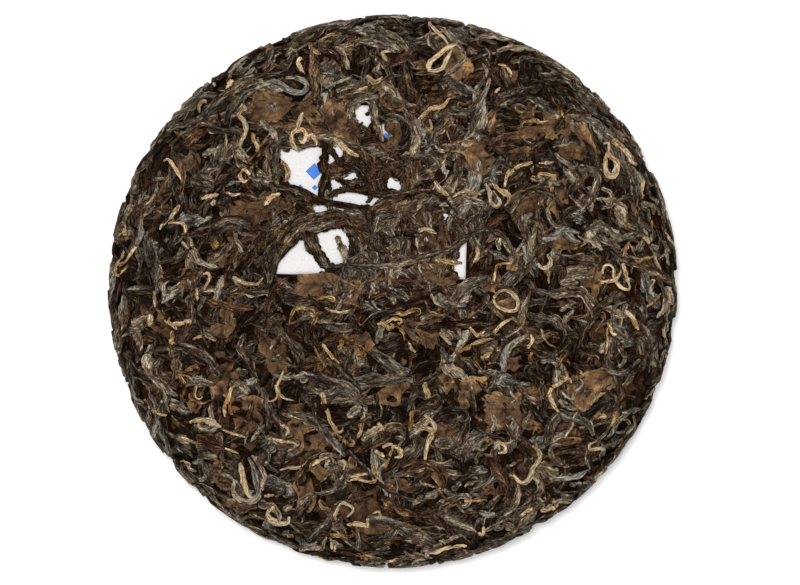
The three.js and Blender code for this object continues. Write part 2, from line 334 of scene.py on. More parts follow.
# The ticket
# A slip of thin white paper, printed in blue and laid on the leaf in the press, so the leaf on both sides
# cockles it. It lies under the top leaves and shows only between them.
TICKET_WIDTH = 63
TICKET_HEIGHT = 56.5
TICKET_TURN = math.radians(-1.7)
TICKET_COVER = 1.35  # depth of its upper side below the skin
PAPER = 0.12
COCKLE = 0.1
ticket_low, ticket_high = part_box("ticket")
ticket_middle = (np.array(ticket_low) + np.array(ticket_high))[:2] / 2 / MM - FACE_MIDDLE
TICKET_CELLS = (46, 42)


def turned(points, angle):
    """Flat points turned about the middle."""
    cos, sin = math.cos(angle), math.sin(angle)
    return points @ np.array([[cos, sin], [-sin, cos]])


def unrolled(points):
    """Where points given from the middle of the face, seen from above, lie on the unrolled skin."""
    distance = np.hypot(points[..., 0], points[..., 1])
    round_distance = distance / outline(np.arctan2(points[..., 1], points[..., 0]))
    along = np.interp(round_distance, section[:girth_step, 0], section_along[:girth_step])
    return points * (along / np.maximum(distance, 1e-6))[..., None]


def grid_quads(rows, columns, first=0):
    """The quads of a grid of points, row after row."""
    index = first + np.arange(rows * columns).reshape(rows, columns)
    return np.stack([index[:-1, :-1], index[1:, :-1], index[1:, 1:], index[:-1, 1:]], -1).reshape(-1, 4)


def grid_edge(rows, columns):
    """The points round a grid, in order."""
    index = np.arange(rows * columns).reshape(rows, columns)
    return np.concatenate([index[0, :-1], index[:-1, -1], index[-1, :0:-1], index[:0:-1, 0]])


def sheet_quads(rows, columns):
    """The quads of a closed thin sheet: an upper grid of points, a lower one, and the edge between them."""
    upper = grid_quads(rows, columns)
    lower = grid_quads(rows, columns, rows * columns)[:, ::-1]
    edge = grid_edge(rows, columns)
    after = np.roll(edge, -1)
    rim = np.stack([edge, after, after + rows * columns, edge + rows * columns], -1)
    return np.concatenate([upper, lower, rim])


def sheet_uv(rows, columns):
    """The map of a closed thin sheet in a unit square: upper side left, lower right, edge in a strip."""
    v, u = np.meshgrid(np.linspace(0, 0.92, rows), np.linspace(0, 0.49, columns), indexing="ij")
    upper = np.stack([u, v], -1).reshape(-1, 2)[grid_quads(rows, columns)]
    lower = (upper + (0.51, 0))[:, ::-1]
    count = len(grid_edge(rows, columns))
    left = np.arange(count) / count
    right = (np.arange(count) + 1) / count
    low, high = np.full(count, 0.94), np.full(count, 0.99)
    rim = np.stack([np.stack([left, low], -1), np.stack([right, low], -1),
                    np.stack([right, high], -1), np.stack([left, high], -1)], 1)
    return np.concatenate([upper, lower, rim])


ticket_x, ticket_y = np.meshgrid(
    np.linspace(-0.5, 0.5, TICKET_CELLS[0]) * TICKET_WIDTH,
    np.linspace(-0.5, 0.5, TICKET_CELLS[1]) * TICKET_HEIGHT, indexing="ij")
ticket_place = np.stack([ticket_x, ticket_y], -1)
ticket_flat = unrolled(turned(ticket_place, TICKET_TURN) + ticket_middle)
cockle = COCKLE * np.sin(ticket_x / 3.1 + 0.8 * np.sin(ticket_y / 4.7)) * np.cos(ticket_y / 3.9)
ticket_top = cockle - TICKET_COVER
ticket_points = np.concatenate([
    over_skin(ticket_flat, ticket_top, 1).reshape(-1, 3),
    over_skin(ticket_flat, ticket_top - PAPER, 1).reshape(-1, 3)])
ticket_mesh = mesh_from("ticket_sheet", ticket_points, sheet_quads(*TICKET_CELLS), sheet_uv(*TICKET_CELLS))


def keep(mesh, name, values, kind="FLOAT"):
    """Stores a value or a vector for each point of a mesh."""
    attribute = mesh.attributes.new(name, kind, "POINT")
    key = {"FLOAT": "value", "FLOAT_VECTOR": "vector"}[kind]
    attribute.data.foreach_set(key, np.asarray(values, np.float32).ravel())


flat_place = np.concatenate([ticket_place, np.zeros((*ticket_place.shape[:2], 1))], -1).reshape(-1, 3)
keep(ticket_mesh, "ticket_place", np.concatenate([flat_place, flat_place]), "FLOAT_VECTOR")

# Uncoated white paper: bright, matt, with a faint fibre and a flat blue print
paper_material, tree = new_material("uncoated_paper")
where = add(tree, "ShaderNodeAttribute", attribute_name="ticket_place").outputs["Vector"]
xyz = add(tree, "ShaderNodeSeparateXYZ", {0: where})
PRINTED_ROWS = [(5.9, 19.6, 2.8), (0.6, 4.8, 1.0), (18.3, 3.7, 1.3)]  # lozenges: height, spacing, half size
printed = 0.0
for row, spacing, half in PRINTED_ROWS:
    to_middle = add(tree, "ShaderNodeMath", {
        0: xyz.outputs[0], 1: spacing / 2}, operation="PINGPONG").outputs[0]
    over_row = add(tree, "ShaderNodeMath", {0: xyz.outputs[1], 1: row}, operation="SUBTRACT").outputs[0]
    to_row = add(tree, "ShaderNodeMath", {0: over_row}, operation="ABSOLUTE").outputs[0]
    around = add(tree, "ShaderNodeMath", {0: to_middle, 1: to_row}, operation="ADD").outputs[0]
    lozenge = add(tree, "ShaderNodeMath", {0: around, 1: half}, operation="LESS_THAN").outputs[0]
    printed = add(tree, "ShaderNodeMath", {0: printed, 1: lozenge}, operation="ADD").outputs[0]
fibre = add(tree, "ShaderNodeTexNoise", {"Vector": where, "Scale": 1.3, "Detail": 5.0, "Roughness": 0.6})
sheet_tint = add(tree, "ShaderNodeValToRGB", {"Fac": fibre.outputs[0]}, stops=[
    (0.25, "#c4c0bd"), (0.5, "#cfcccb"), (0.75, "#d8d5d4")])
ink = add(tree, "ShaderNodeMix", {
    0: printed, 6: sheet_tint.outputs[0], 7: linear("#3f74c4")}, data_type="RGBA")
bump = add(tree, "ShaderNodeBump", {"Height": fibre.outputs[0], "Strength": 0.3, "Distance": 0.0001})
shader = add(tree, "ShaderNodeBsdfPrincipled", {
    "Base Color": ink.outputs[2], "Roughness": 0.9, "IOR": 1.5, "Normal": bump.outputs[0]})
add(tree, "ShaderNodeOutputMaterial", {"Surface": shader.outputs[0]})
ticket = add_piece("ticket_sheet", ticket_mesh, paper_material)
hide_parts("ticket")

# What lies on the ticket starts from its upper side, a little over the paper and its edges
at_cells = turned(face.middles() - ticket_middle, -TICKET_TURN)
EDGE_ROOM = 0.5
PAPER_ROOM = 0.15
on_ticket = (np.abs(at_cells) < np.array([TICKET_WIDTH, TICKET_HEIGHT]) / 2 + EDGE_ROOM).all(-1)
face.height[on_ticket] = -TICKET_COVER + PAPER_ROOM

# The rolled leaves of the face
# Most of the cake: whole leaves, withered, rolled until they twist into strips, oxidised and dried. Steam
# and the press lay them flat over each other, and nothing else holds them. The deepest layer takes the
# darkest tones, and each leaf that lies deep is painted darker as shade.


def waves(steps, low, high, count=3):
    """A smooth random wave along a leaf, of a height of about 1."""
    u = np.linspace(0, 1, steps)
    turns = rng.uniform(low, high, count)
    phase = rng.uniform(0, 2 * np.pi, count)
    return np.sin(2 * np.pi * turns[:, None] * u + phase[:, None]).mean(0) * 1.6


def smooth(values, passes):
    """Values smoothed along a line, or along the rows of a grid."""
    for _ in range(passes):
        padded = np.concatenate([values[:1], values, values[-1:]])
        values = (padded[:-2] + 2 * padded[1:-1] + padded[2:]) / 4
    return values


def finer(grid):
    """A grid of values with one more row between each two of its rows."""
    rows = np.linspace(0, len(grid) - 1, 2 * len(grid) - 1)
    low = np.minimum(rows.astype(int), len(grid) - 2)
    share = (rows - low).reshape(-1, *[1] * (grid.ndim - 1))
    return grid[low] * (1 - share) + grid[low + 1] * share


def wander(middle, heading, length, bend, hook, steps):
    """The line of a leaf: bent as a whole, wavering, with a kink, and hooked at its tip."""
    u = np.linspace(0, 1, steps)
    way = heading + bend * (u - 0.5) + 0.28 * waves(steps, 0.5, 2.5)
    way = way + hook * np.clip((u - 0.65) / 0.35, 0, 1) ** 1.3
    way = way + rng.normal(0, 0.4) * (u > rng.uniform(0.2, 0.8))
    step = length / (steps - 1) * np.stack([np.cos(way), np.sin(way)], 1)
    line = np.cumsum(step, axis=0)
    return line - line.mean(0) + middle


def sides_of(line):
    """The direction of a line at its points, and the direction across it."""
    way = np.gradient(line, axis=0)
    way /= np.maximum(np.hypot(*way.T), 1e-6)[:, None]
    return way, np.stack([way[:, 1], -way[:, 0]], 1)


def is_clear(side, line, width):
    """Whether a leaf along a line keeps off the closed places."""
    across = sides_of(line)[1] * width / 2
    return not side.closed[side.cell(np.concatenate([line, line + across, line - across]))].any()


class Strips:
    """Leaves of one kind, rolled into strips, that become one mesh of closed tubes."""

    FOLDS = 4  # ridges round a strip
    FOLD_HEIGHT = 0.16  # as a share of its half width and thickness
    UNEVEN = 0.1  # of its surface, as such a share too
    WORN_EDGE = 0.5  # how far its ends reach past its line, as a share of its half width there

    def __init__(self, steps, length=None, width=None, thickness=None, tone=None,
                 turns=(-0.5, 0.5), hooks=0.18, bend=0.6, ring=(8, 3)):
        self.steps = steps
        self.length, self.width, self.thickness, self.tone = length, width, thickness, tone
        self.turns = turns  # of the strip about its own line
        self.hooks = hooks  # the share of leaves with a hooked tip
        self.bend = bend
        above, below = ring  # points round the strip, on its upper side and under it
        upper = np.linspace(0, np.pi, above)
        lower = np.linspace(np.pi, 2 * np.pi, below + 2)[1:-1]
        self.ring = np.concatenate([upper, lower])
        self.rings, self.tips, self.places, self.tones = [], [], [], []

    def lay(self, side, line, width, tone=None):
        """Lays a leaf on what lies there, and raises the height of the side by it."""
        if tone is None:
            tone = np.interp(rng.random() ** 1.4, [0, 1], self.tone)
        thickness = min(rng.uniform(*self.thickness), width * 0.8)
        u = np.linspace(0, 1, self.steps)
        way, across = sides_of(line)
        head, tail = rng.uniform(0.1, 0.4, 2)
        blunt, sharp = rng.uniform(0.35, 0.85), rng.uniform(0.12, 0.6)
        taper = smooth(np.interp(u, [0, head, 1 - tail, 1], [blunt, 1, 1, sharp]), 2)
        taper = taper * (1 + 0.17 * waves(self.steps, 1, 4) + 0.07 * rng.standard_normal(self.steps))
        half_width = width / 2 * taper
        half_thickness = thickness / 2 * np.sqrt(taper)
        roll = 0.3 * waves(self.steps, 0.3, 1.6) + 2 * np.pi * rng.uniform(*self.turns) * (u - 0.5)
        twist = 2 * np.pi * rng.uniform(-0.8, 0.8) * u[:, None]
        ridge = np.cos(self.FOLDS * self.ring + twist + rng.uniform(0, 2 * np.pi))
        rough = self.UNEVEN * rng.standard_normal((self.steps, len(self.ring)))
        reach = 1 + self.FOLD_HEIGHT * ridge + rough
        breadth = half_width[:, None] * reach * np.cos(self.ring)
        rise = half_thickness[:, None] * reach * np.sin(self.ring)
        offset = breadth * np.cos(roll)[:, None] - rise * np.sin(roll)[:, None]
        height = breadth * np.sin(roll)[:, None] + rise * np.cos(roll)[:, None]
        flat = line[:, None] + across[:, None] * offset[..., None]
        below = side.read(flat)
        bed = 0.75 * below.max(1) + 0.25 * below.mean(1)
        soft = smooth(bed, 5)
        bed = np.maximum(soft, 0.5 * (bed + soft))
        height = side.press(flat, height + (bed + smooth(-height.min(1) * 0.8, 2))[:, None])
        side.raise_to(finer(flat), finer(height))
        ends = np.stack([
            line[0] - way[0] * half_width[0] * self.WORN_EDGE,
            line[-1] + way[-1] * half_width[-1] * self.WORN_EDGE])
        self.rings.append(over_skin(flat, height, side.sign))
        self.tips.append(over_skin(ends, np.array([height[0].mean(), height[-1].mean()]), side.sign))
        along = np.concatenate([[0], np.cumsum(np.hypot(*np.diff(line, axis=0).T))])
        apart = rng.uniform(0, 500)  # so that no two leaves have the same pattern
        self.places.append(np.stack(np.broadcast_arrays(along[:, None] + apart, breadth, rise), -1))
        # Ridges, margins and one rubbed edge are paler. As painted light and shade, the top of each strip
        # is lighter and its sides and underside darker, and what lies deep is darker
        margins_and_painted_top_light = 0.17 * np.abs(np.cos(self.ring)) ** 8 + 0.12 * (np.sin(self.ring) - 0.45)
        marks_and_painted_light = 0.13 * ridge + margins_and_painted_top_light + 0.1 * waves(self.steps, 0.5, 2)[:, None]
        rubbed = rng.choice([-1, 0, 0, 1]) * np.cos(self.ring)
        sunk = np.clip(side.depth(flat, height), 0, 3)
        self.tones.append(tone + marks_and_painted_light + 0.4 * np.clip(rubbed, 0, 1) ** 5 - 0.12 * sunk)

    def mesh(self, name):
        """One closed tube for each leaf, with a cell of the map for each."""
        count, steps, ring = len(self.rings), self.steps, len(self.ring)
        per_leaf = steps * ring + 2
        first = (np.arange(count) * per_leaf)[:, None, None]
        rings = np.array(self.rings).reshape(count, -1, 3)
        points = np.concatenate([rings, np.array(self.tips)], 1).reshape(-1, 3)
        row = np.arange(steps - 1)[:, None] * ring
        column = np.arange(ring)
        after = (column + 1) % ring
        tube = np.stack([row + column, row + ring + column, row + ring + after, row + after], -1)
        last = (steps - 1) * ring
        caps = np.concatenate([
            np.stack([np.full(ring, per_leaf - 2), column, after], -1),
            np.stack([np.full(ring, per_leaf - 1), last + after, last + column], -1)])
        cells_across = max(1, math.ceil(math.sqrt(count / 2)))
        cells_up = math.ceil(count / cells_across)
        corner = np.stack([np.arange(count) % cells_across, np.arange(count) // cells_across], -1)
        cell_size = np.array([1 / cells_across, 1 / cells_up])
        u = 0.03 + 0.94 * (np.arange(steps) + 1) / (steps + 1)
        v = 0.04 + 0.92 * np.arange(ring + 1) / ring
        middle_v = (v[:-1] + v[1:]) / 2
        quad_u = np.stack([u[:-1], u[1:], u[1:], u[:-1]], -1)[:, None]
        quad_v = np.stack([v[:-1], v[:-1], v[1:], v[1:]], -1)[None]
        tube_uv = np.stack(np.broadcast_arrays(quad_u, quad_v), -1)
        cap_u = np.repeat([[0.03, u[0], u[0]], [0.97, u[-1], u[-1]]], ring, 0)
        head_v = np.stack([middle_v, v[:-1], v[1:]], -1)
        tail_v = np.stack([middle_v, v[1:], v[:-1]], -1)
        cap_uv = np.stack([cap_u, np.concatenate([head_v, tail_v])], -1)
        mesh = mesh_from(
            name, points,
            (first[..., None] + tube).reshape(-1, 4),
            (corner[:, None, None, None] + tube_uv) * cell_size,
            (first + caps).reshape(-1, 3),
            (corner[:, None, None] + cap_uv) * cell_size)
        places, tones = np.array(self.places), np.array(self.tones)
        end_places = np.stack([places[:, 0].mean(1), places[:, -1].mean(1)], 1)
        end_tones = np.stack([tones[:, 0].mean(1), tones[:, -1].mean(1)], 1)
        places = np.concatenate([places.reshape(count, -1, 3), end_places], 1)
        keep(mesh, "leaf_place", places, "FLOAT_VECTOR")
        keep(mesh, "leaf_tone", np.concatenate([tones.reshape(count, -1), end_tones], 1))
        return mesh


def any_way(angle, radius):
    """Leaves of the face lie every way. Towards the girth they turn to follow the rim."""
    stray = np.interp(radius, [70, 84, 95], [1.6, 0.9, 0.5])
    return angle + math.pi / 2 + rng.uniform(-stray, stray)


def strew(kinds, shares, side, count, inner, outer, tries=8):
    """Lays leaves of mixed kinds, each where what lies so far is lowest out of a few places."""
    for _ in range(count):
        kind = kinds[rng.choice(len(kinds), p=shares)]
        size = rng.uniform(*kind.length)
        best = None
        for _ in range(tries):
            radius = math.sqrt(rng.uniform(inner ** 2, outer ** 2))
            angle = rng.uniform(0, 2 * math.pi)
            heading = any_way(angle, radius)
            middle = radius * np.array([math.cos(angle), math.sin(angle)])
            reach = np.linspace(-0.45, 0.45, 7)[:, None] * size
            level = side.read(middle + reach * np.array([math.cos(heading), math.sin(heading)])).mean()
            if best is None or level < best[0]:
                best = (level, middle, heading)
        hook = rng.choice([-1, 1]) * rng.uniform(1.5, 4.5) if rng.random() < kind.hooks else 0
        line = wander(best[1], best[2], size, rng.normal(0, kind.bend), hook, kind.steps)
        width = rng.uniform(*kind.width)
        if is_clear(side, line, width):
            kind.lay(side, line, width)


LEAF_SHEEN = 0.08
SHEEN_SPREAD = 0.12  # of the roughness, with the veins
WARM_CAST = (1.07, 0.98, 0.93, 1)
COOL_CAST = (0.61, 0.65, 0.78, 1)


def leaf_material(name, stops, roughness, cool=COOL_CAST):
    """Dry leaf. Creases and fine veins run along it, its ridges are paler, its crease lines are painted
    darker as shade, and its skin is crumpled. Its tone differs from leaf to leaf, and so does its cast,
    from warm to cool."""
    material, tree = new_material(name)
    where = add(tree, "ShaderNodeAttribute", attribute_name="leaf_place").outputs["Vector"]
    leaf_tone = add(tree, "ShaderNodeAttribute", attribute_name="leaf_tone").outputs["Fac"]
    along = add(tree, "ShaderNodeVectorMath", {0: where, 1: (0.22, 1.0, 1.0)}, operation="MULTIPLY")
    folds = add(tree, "ShaderNodeTexNoise", {
        "Vector": along.outputs[0], "Scale": 0.9, "Detail": 3.0, "Roughness": 0.6,
        "Distortion": 0.3}).outputs[0]
    fine_along = add(tree, "ShaderNodeVectorMath", {0: where, 1: (0.28, 1.4, 1.4)}, operation="MULTIPLY")
    veins = add(tree, "ShaderNodeTexNoise", {
        "Vector": fine_along.outputs[0], "Scale": 1.0, "Detail": 2.0}).outputs[0]
    from_line = add(tree, "ShaderNodeMath", {0: veins, 1: 0.5}, operation="SUBTRACT").outputs[0]
    line_distance = add(tree, "ShaderNodeMath", {0: from_line}, operation="ABSOLUTE").outputs[0]
    lines = add(tree, "ShaderNodeMapRange", {
        "Value": line_distance, "From Min": 0.02, "From Max": 0.11, "To Min": 1.0, "To Max": 0.0},
        interpolation_type="SMOOTHSTEP").outputs[0]
    patches = add(tree, "ShaderNodeTexNoise", {"Vector": where, "Scale": 0.22, "Detail": 3.0}).outputs[0]
    crumple = add(tree, "ShaderNodeTexNoise", {
        "Vector": where, "Scale": 1.3, "Detail": 4.0, "Roughness": 0.65, "Distortion": 0.6}).outputs[0]
    from_crease = add(tree, "ShaderNodeMath", {0: folds, 1: 0.5}, operation="SUBTRACT").outputs[0]
    crease_distance = add(tree, "ShaderNodeMath", {0: from_crease}, operation="ABSOLUTE").outputs[0]
    crease = add(tree, "ShaderNodeMapRange", {
        "Value": crease_distance, "From Min": 0.0, "From Max": 0.06},
        interpolation_type="SMOOTHSTEP").outputs[0]
    shade = leaf_tone
    # Folds, pale lines, patches and crumples vary the tone; the crease lines are painted darker, as shade
    # in the grooves
    for pattern, middle, weight in (
            (folds, 0.5, 0.8), (crease, 0.8, 0.3), (lines, 0.4, 0.28), (patches, 0.5, 0.65),
            (crumple, 0.48, 0.7)):
        offset = add(tree, "ShaderNodeMath", {0: pattern, 1: middle}, operation="SUBTRACT").outputs[0]
        shade = add(tree, "ShaderNodeMath", {
            0: offset, 1: weight, 2: shade}, operation="MULTIPLY_ADD").outputs[0]
    tint = add(tree, "ShaderNodeValToRGB", {"Fac": shade}, stops=stops)
    by_leaf = add(tree, "ShaderNodeTexNoise", {"Vector": where, "Scale": 0.03, "Detail": 1.0}).outputs[0]
    cool_share = add(tree, "ShaderNodeMapRange", {
        "Value": by_leaf, "From Min": 0.38, "From Max": 0.62}).outputs[0]
    cast = add(tree, "ShaderNodeMix", {
        0: cool_share, 6: WARM_CAST, 7: cool}, data_type="RGBA").outputs[2]
    tint = add(tree, "ShaderNodeVectorMath", {0: tint.outputs[0], 1: cast}, operation="MULTIPLY")
    rough = add(tree, "ShaderNodeMapRange", {
        "Value": veins, "From Min": 0.3, "From Max": 0.7,
        "To Min": roughness - SHEEN_SPREAD, "To Max": roughness + SHEEN_SPREAD})
    relief = crease
    for pattern, weight in ((folds, 1.6), (lines, 1.2), (crumple, 1.4)):
        relief = add(tree, "ShaderNodeMath", {
            0: pattern, 1: weight, 2: relief}, operation="MULTIPLY_ADD").outputs[0]
    bump = add(tree, "ShaderNodeBump", {"Height": relief, "Strength": 1.0, "Distance": 0.0005})
    shader = add(tree, "ShaderNodeBsdfPrincipled", {
        "Base Color": tint.outputs[0], "Roughness": rough.outputs[0], "IOR": 1.45,
        "Specular IOR Level": LEAF_SHEEN, "Normal": bump.outputs[0]})
    add(tree, "ShaderNodeOutputMaterial", {"Surface": shader.outputs[0]})
    return material


# The gaps between leaves where the ticket shows, as seen from above
GAPS = [
    [(-36, 45), (-32.7, 46.2), (-24.4, 46.8), (-24, 42), (-23.2, 38), (-24.3, 31.2), (-29, 33),
     (-35, 36), (-34, 40)],
    [(-20.4, 48.6), (-18.4, 47), (-18, 43.6), (-21.8, 42), (-20.8, 45)],
    [(-10.6, 60.5), (-9, 58), (-7.2, 55.8), (-9.2, 55.5), (-12.6, 58.2)],
    [(-2.8, 53.7), (-0.3, 53), (-2.4, 50.2), (-3.3, 51.4)],
    [(-19.2, 31), (-14.5, 32.5), (-9.8, 32.7), (-8.4, 31), (-11.2, 28.9), (-17.5, 29), (-19.4, 29.8)],
    [(-20.6, 34.6), (-19, 36.6), (-17.6, 35.2), (-18.6, 34.2)],
    [(-16.2, 36.4), (-13.5, 38.7), (-12.2, 38.2), (-14.3, 36.6)],
    [(-6, 31), (-4.6, 29.9), (-1.8, 30.1), (-4.5, 27.9)],
    [(-1.3, 35.9), (0.6, 36.6), (2.5, 34.9), (0.2, 33.9)],
    [(-26.2, 24.9), (-24.7, 27.7), (-22.3, 27.1), (-23.3, 25.7)],
    [(-18.9, 27), (-14.6, 26.4), (-15.7, 25.4)],
    [(-24.2, 18.2), (-20, 19.6), (-16.2, 18.3), (-14.6, 15.2), (-16.4, 12.8), (-17, 9.4), (-20.6, 9.2),
     (-22.3, 12.5)],
    [(-37.6, 5.2), (-37.3, 9), (-36.2, 12.2), (-33.3, 13.4), (-30.8, 15.2), (-29, 14), (-27.2, 10.8),
     (-25, 9.2), (-24.5, 5.2)],
    [(21.6, 8), (24.1, 8.7), (24.2, 4.2), (21.2, 4.4)],
    [(22.8, 14.8), (24.8, 14.8), (24.6, 11.6), (22.6, 13.3)],
]
NEARER = 0.991  # what lies on the face is seen this much larger than at the girth


def inside(points, corners):
    """Which points lie inside an outline."""
    crossings = np.zeros(points.shape[:-1], int)
    for (x0, y0), (x1, y1) in zip(corners, np.roll(corners, -1, 0)):
        spans = (points[..., 1] < y0) != (points[..., 1] < y1)
        crossings += spans & (points[..., 0] < x0 + (points[..., 1] - y0) * (x1 - x0) / (y1 - y0 or 1e-9))
    return crossings % 2 == 1


for corners in GAPS:
    face.closed |= inside(face.middles(), unrolled(np.array(corners) * NEARER))

# Each layer leaves room, in face.spare, for those that come over it
face.spare = 1.2
under = Strips(
    steps=12, length=(14, 26), width=(2.8, 5.0), thickness=(1.0, 1.6), tone=(0.1, 0.45), ring=(6, 2))
strew([under], [1], face, count=300, inner=0, outer=112)


class OpenLeaves:
    """Leaves that stayed open, or bits of them, that become one mesh of thin closed sheets."""

    ROWS, COLUMNS = 15, 9
    SHEET = 0.35  # its thickness

    def __init__(self):
        self.points, self.places, self.tones = [], [], []

    def lay(self, side, middle, heading, length, width, tone):
        """Lays an open leaf over what lies there. It sags between what bears it."""
        s = np.linspace(-1, 1, self.ROWS)[:, None]
        t = np.linspace(-1, 1, self.COLUMNS)[None]
        start, stop = rng.uniform(0.05, 0.35), rng.uniform(0.65, 0.95)
        full = np.sin(np.pi * (start + (stop - start) * (s + 1) / 2)) ** 0.7
        left, right = (
            1 + 0.2 * waves(self.ROWS, 0.6, 2)[:, None] + 0.025 * rng.standard_normal((self.ROWS, 1))
            for _ in range(2))
        across = width / 2 * full * t * np.where(t < 0, left, right)
        ragged = waves(self.COLUMNS, 0.6, 2)[None] + 0.2 * rng.standard_normal((1, self.COLUMNS))
        torn = 0.05 * length * ragged
        along = length / 2 * s + torn * np.abs(s) ** 3
        bow = rng.normal(0, 0.06) * length * s ** 2
        flat = turned(np.stack(np.broadcast_arrays(along, across + bow), -1), heading) + middle
        below = side.read(flat)
        bed = smooth(smooth(below, 8).T, 8).T + 0.5 * below.std()
        bed = 0.8 * bed + 0.2 * np.maximum(bed, below)
        fold = rng.uniform(0.1, 0.6) * np.abs(t) * rng.choice([-0.4, 1])
        crinkle = 0.34 * waves(self.ROWS, 1, 3)[:, None] * waves(self.COLUMNS, 0.5, 1.5)[None]
        curl = rng.uniform(0, 0.7) * np.abs(s) ** 4 + rng.uniform(0, 0.5) * np.abs(t) ** 4
        height = side.press(flat, bed + fold + crinkle + curl + 0.35)
        side.raise_to(finer(flat), finer(height))
        side.raise_to(finer(flat.swapaxes(0, 1)), finer(height.T))
        upper = over_skin(flat, height, side.sign)
        lower = over_skin(flat, height - self.SHEET, side.sign)
        self.points.append([upper, lower])
        place = np.stack(np.broadcast_arrays(along, across, rng.uniform(0, 500)), -1)
        self.places.append([place, place])
        # The edges are painted paler as a highlight, and the midrib is darker. The slope of tone across and
        # along each leaf is painted shade, one side of its fold lighter than the other.
        midrib = 0.1 * np.exp(-(t * 5) ** 2)
        marks_and_painted_light = 0.12 * np.abs(t) ** 6 + 0.12 * waves(self.ROWS, 0.5, 2)[:, None] - midrib
        marks_and_painted_light = marks_and_painted_light + rng.uniform(-0.2, 0.2) * t + rng.uniform(-0.15, 0.15) * s
        self.tones.append([tone + marks_and_painted_light, tone + marks_and_painted_light])

    def mesh(self, name):
        """One closed sheet for each leaf, with a cell of the map for each."""
        count = len(self.points)
        cells_across = math.ceil(math.sqrt(count))
        corner = np.stack([np.arange(count) % cells_across, np.arange(count) // cells_across], -1)
        first = np.arange(count)[:, None, None] * 2 * self.ROWS * self.COLUMNS
        uv = corner[:, None, None] + 0.02 + 0.96 * sheet_uv(self.ROWS, self.COLUMNS)
        mesh = mesh_from(
            name, np.array(self.points).reshape(-1, 3),
            (first + sheet_quads(self.ROWS, self.COLUMNS)).reshape(-1, 4), uv / cells_across)
        keep(mesh, "leaf_place", self.places, "FLOAT_VECTOR")
        keep(mesh, "leaf_tone", self.tones)
        return mesh


def strew_open(leaves, side, count, reach):
    """Lays open leaves of every size and way."""
    for _ in range(count):
        radius, angle = reach * math.sqrt(rng.random()), rng.uniform(0, 2 * math.pi)
        middle = radius * np.array([math.cos(angle), math.sin(angle)])
        size = rng.uniform(6, 15)
        heading = rng.uniform(0, np.pi)
        way = np.array([math.cos(heading), math.sin(heading)])
        spine = middle + np.linspace(-0.5, 0.5, 7)[:, None] * size * way
        width = size * rng.uniform(0.45, 0.75)
        if is_clear(side, spine, width):
            leaves.lay(side, middle, heading, size, width, rng.uniform(0.2, 0.7))


opened = OpenLeaves()
face.spare = 0.9
strew_open(opened, face, count=75, reach=84)
face.spare = 0.5

dark = Strips(steps=20, length=(14, 30), width=(2.4, 5.2), thickness=(0.9, 1.6), tone=(0.15, 0.68))
grey = Strips(
    steps=22, length=(9, 26), width=(1.8, 4.6), thickness=(0.8, 1.4), tone=(0.15, 0.85), hooks=0.25)
rusty = Strips(
    steps=22, length=(8, 18), width=(2.4, 5.2), thickness=(0.7, 1.2), tone=(0.15, 0.65), turns=(-0.2, 0.2))
folded = Strips(
    steps=16, length=(9, 17), width=(4.2, 7.0), thickness=(0.8, 1.3), tone=(0.2, 0.6),
    turns=(-0.06, 0.06), hooks=0, bend=0.4, ring=(11, 3))
FACE_SHARES = [0.4, 0.36, 0.1, 0.14]  # of the four kinds
strew([dark, grey, rusty, folded], FACE_SHARES, face, count=350, inner=0, outer=86, tries=16)


def lay_off_gaps(kind, middle, sizes):
    """Lays a leaf of the first size that keeps off the gaps somehow, near a place on the ticket."""
    for size in sizes:
        lines = [
            wander(middle + rng.normal(0, 0.2 * size, 2), heading, size, rng.normal(0, 0.5), 0, kind.steps)
            for heading in rng.uniform(0, 2 * np.pi, 12)]
        width = min(rng.uniform(0.18, 0.4) * size, 4.8)
        clear = [line for line in lines if is_clear(face, line, width)]
        if clear:
            kind.lay(face, clear[0], width)
            break


# Small bits first, until the ticket is bare in the gaps only, then whole leaves
MOST_BITS = 300
BIT_SIZES = (12, 8, 6, 4)
BARE_ROOM = 0.2  # over the ticket, under which a cell still counts as bare
BARE_CELLS = 40  # that may stay bare
WHOLE_LEAVES = 95
WHOLE_SIZES = (26, 20, 16, 12, 9)
face.spare = 1.0
for _ in range(MOST_BITS):
    bare = np.argwhere(on_ticket & ~face.closed & (face.height < -TICKET_COVER + BARE_ROOM))
    if len(bare) < BARE_CELLS:
        break
    lay_off_gaps(dark, face.middles()[tuple(bare[rng.integers(len(bare))])], BIT_SIZES)
face.spare = 0.5
covered = face.middles()[on_ticket & ~face.closed]
in_turn = (dark, grey, folded, dark, rusty)
for i in range(WHOLE_LEAVES):
    lay_off_gaps(in_turn[i % len(in_turn)], covered[rng.integers(len(covered))], WHOLE_SIZES)

face.spare = 0.3
strew_open(opened, face, count=36, reach=82)
strew([grey, dark], [0.6, 0.4], face, count=80, inner=0, outer=86, tries=16)

# Tight rolls dried almost black, with dull brown ridges. Those with down on them went grey and take a
# little more light, and coarse older leaf went rusty and matt.
DARK_LEAF = [(0.0, "#140700"), (0.3, "#382716"), (0.6, "#62533f"), (0.85, "#918269"), (1.0, "#c6b798")]
GREY_LEAF = [(0.0, "#1a0c02"), (0.3, "#433526"), (0.6, "#706350"), (0.85, "#9f9276"), (1.0, "#d0c3a4")]
RUSTY_LEAF = [(0.0, "#120804"), (0.3, "#372416"), (0.6, "#5d4530"), (0.85, "#816548"), (1.0, "#a98b69")]
dark_material = leaf_material("dried_dark_leaf", DARK_LEAF, 0.62)
grey_material = leaf_material("dried_grey_leaf", GREY_LEAF, 0.66)
rusty_material = leaf_material("dried_rusty_leaf", RUSTY_LEAF, 0.72)
for name, strips, material in (
        ("under_leaves", under, dark_material), ("dark_leaves", dark, dark_material),
        ("grey_leaves", grey, grey_material), ("rusty_leaves", rusty, rusty_material),
        ("folded_leaves", folded, grey_material)):
    add_piece(name, strips.mesh(name), material)

